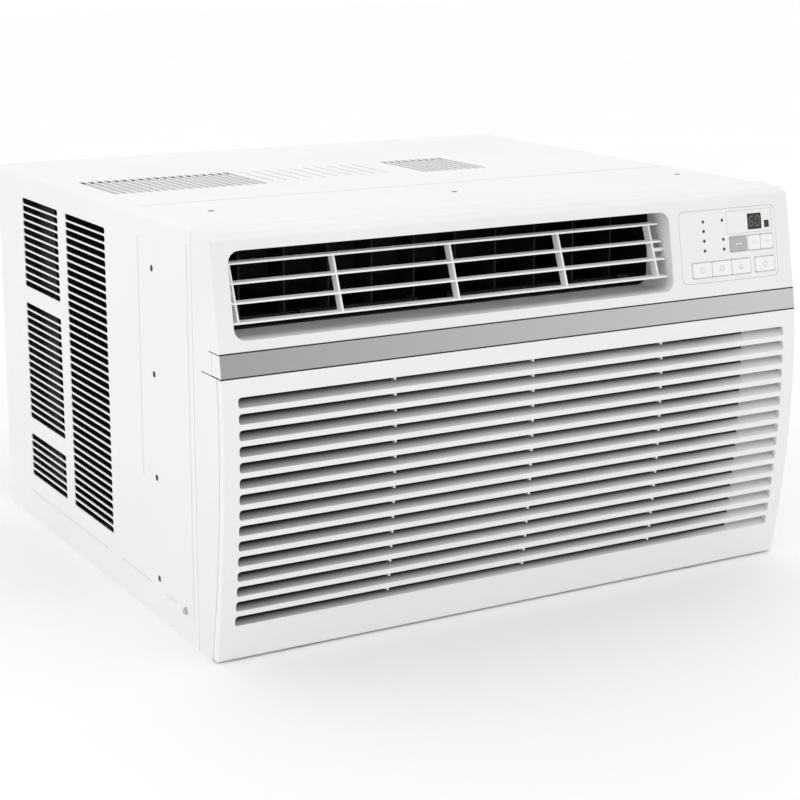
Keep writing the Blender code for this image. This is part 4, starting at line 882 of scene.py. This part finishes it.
def make_coil(node, rows, bend):
    """A finned coil: thin fins, end plates, tubes and, where bend isn't 0, the tubes' bends."""
    low, high = map(Vector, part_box(node))
    inset, foot, head = 0.001, 0.002, 0.003     # fins and tubes stay this far inside the coil
    fins = bmesh.new()
    for i in range(int((high.x - low.x - COIL_PLATE) / FIN_PITCH)):
        x = low.x + COIL_PLATE + FIN_PITCH * (i + 0.5)
        add_box(fins, (x - FIN_THICK / 2, x + FIN_THICK / 2), (low.y + inset, high.y - inset),
                (low.z + foot, high.z - head))
    for x in (low.x, high.x - COIL_PLATE):
        add_box(fins, (x, x + COIL_PLATE), (low.y, high.y), (low.z, high.z))
    obj = piece(f"{node}_fins", fins, FIN_METAL)
    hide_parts(node)

    tubes = bmesh.new()
    step_z = (high.z - low.z - TUBE_SPARE) / rows
    heights = [low.z + TUBE_MARGIN + step_z * (row + 0.5) for row in range(rows)]
    for column in range(COIL_COLUMNS):
        y = low.y + (high.y - low.y) * (column + 0.5) / COIL_COLUMNS
        for z in heights:
            ends = [Vector((low.x + inset, y, z)), Vector((high.x - inset, y, z))]
            add_tube(tubes, ends, TUBE_R)
        for row, z in enumerate(heights[:-1] if bend else ()):
            end, sign = (low.x, -1) if row % 2 else (high.x, 1)
            points = []
            for i in range(CORNER_STEPS + 1):
                angle = math.pi * i / CORNER_STEPS
                points.append(Vector((end + sign * bend * math.sin(angle), y,
                                      z + step_z / 2 - step_z / 2 * math.cos(angle))))
            add_tube(tubes, points, BEND_R)
    piece(f"{node}_tubes", tubes, COPPER, smooth=60.0)


def make_coil_seals_and_shade():
    """Dark foam between the outer coil's ends and the cabinet sides, clear of the pipes.

    Its black is also painted shade over the coil's ends.
    """
    heights = {-1: ((0.012, 0.345),), 1: ((0.012, 0.055), (0.066, 0.303), (0.317, 0.345))}
    gap, inset = 0.0005, 0.001
    low, high = map(Vector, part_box("condenser_coil"))
    bm = bmesh.new()
    for side, spans in heights.items():
        x = sorted((side * (high.x + gap), side * (HALF_W - SHEET - gap)))
        for span in spans:
            add_box(bm, x, (low.y + inset, high.y - inset), span)
    piece("coil_seals_and_shade", bm, PAINTED_SHADOW)


# ---------------------------------------------------------------- finish of the carried-over nodes
def dress_nodes():
    """Gives each CAD node its look; the ones not listed are dark plastic."""
    for name, obj in frame["nodes"].items():
        obj.data.materials.clear()
        obj.data.materials.append(NODE_MATERIAL.get(name, DARK_PLASTIC))


def make_stage():
    """The pale floor."""
    size = 12.0
    bm = bmesh.new()
    bm.faces.new([bm.verts.new((x, y, 0.0)) for x, y in
                  ((-size, -size), (size, -size), (size, size), (-size, size))])
    mesh = bpy.data.meshes.new("floor")
    bm.to_mesh(mesh)
    bm.free()
    floor = bpy.data.objects.new("floor", mesh)
    bpy.context.scene.collection.objects.link(floor)
    mesh.materials.append(plain_look("pale_floor", (0.93, 0.93, 0.935), rough=(0.6, 0.7),
                                     cloud=2.0, spread=0.004))


def add_light(name, place, target, size, power):
    """A round soft light that faces a target."""
    light = bpy.data.lights.new(name, "AREA")
    light.shape = "DISK"
    light.size = size
    light.energy = power
    obj = bpy.data.objects.new(name, light)
    obj.location = place
    obj.rotation_euler = (Vector(target) - Vector(place)).to_track_quat("-Z", "Y").to_euler()
    bpy.context.scene.collection.objects.link(obj)


def make_studio():
    """The white surroundings, two soft lights and the camera."""
    scene = bpy.context.scene
    world = bpy.data.worlds.new("studio")
    world.use_nodes = True
    background = world.node_tree.nodes["Background"]
    background.inputs["Color"].default_value = (1.0, 1.0, 1.0, 1.0)
    background.inputs["Strength"].default_value = 1.06
    scene.world = world
    scene.view_settings.view_transform = "Standard"
    add_light("key", (-2.4, -0.5, 1.3), (0.0, 0.0, 0.2), 1.2, 4.0)
    add_light("top", (0.3, 0.2, 2.6), (0.0, 0.0, 0.3), 2.4, 2.5)

    # The camera was fitted to the visible corners of the cabinet.
    camera = bpy.data.objects.new("camera", bpy.data.cameras.new("camera"))
    camera.data.lens = 85.6
    camera.data.sensor_width = 36.0
    camera.data.shift_y = -0.1
    camera.location = (-0.911, -1.644, 0.608)
    camera.rotation_euler = (math.radians(78.30), 0.0, math.radians(-29.61))
    scene.collection.objects.link(camera)
    scene.camera = camera


dress_nodes()
make_cabinet()
make_vent_flaps()
make_pressings()
make_hole_shadows()
make_screws()
softened("front_bezel", 0.0009)
softened("intake_grille", 0.0004)
make_band()
softened("louvre_frame", 0.0004)
for key in KEYS:
    softened(key, 0.0002)
make_slot_fillets()
make_band_seam_shadows()
make_key_prints()
make_panel_print()
make_digits()
for coil in COILS:
    make_coil(*coil)
make_coil_seals_and_shade()
make_stage()
make_studio()
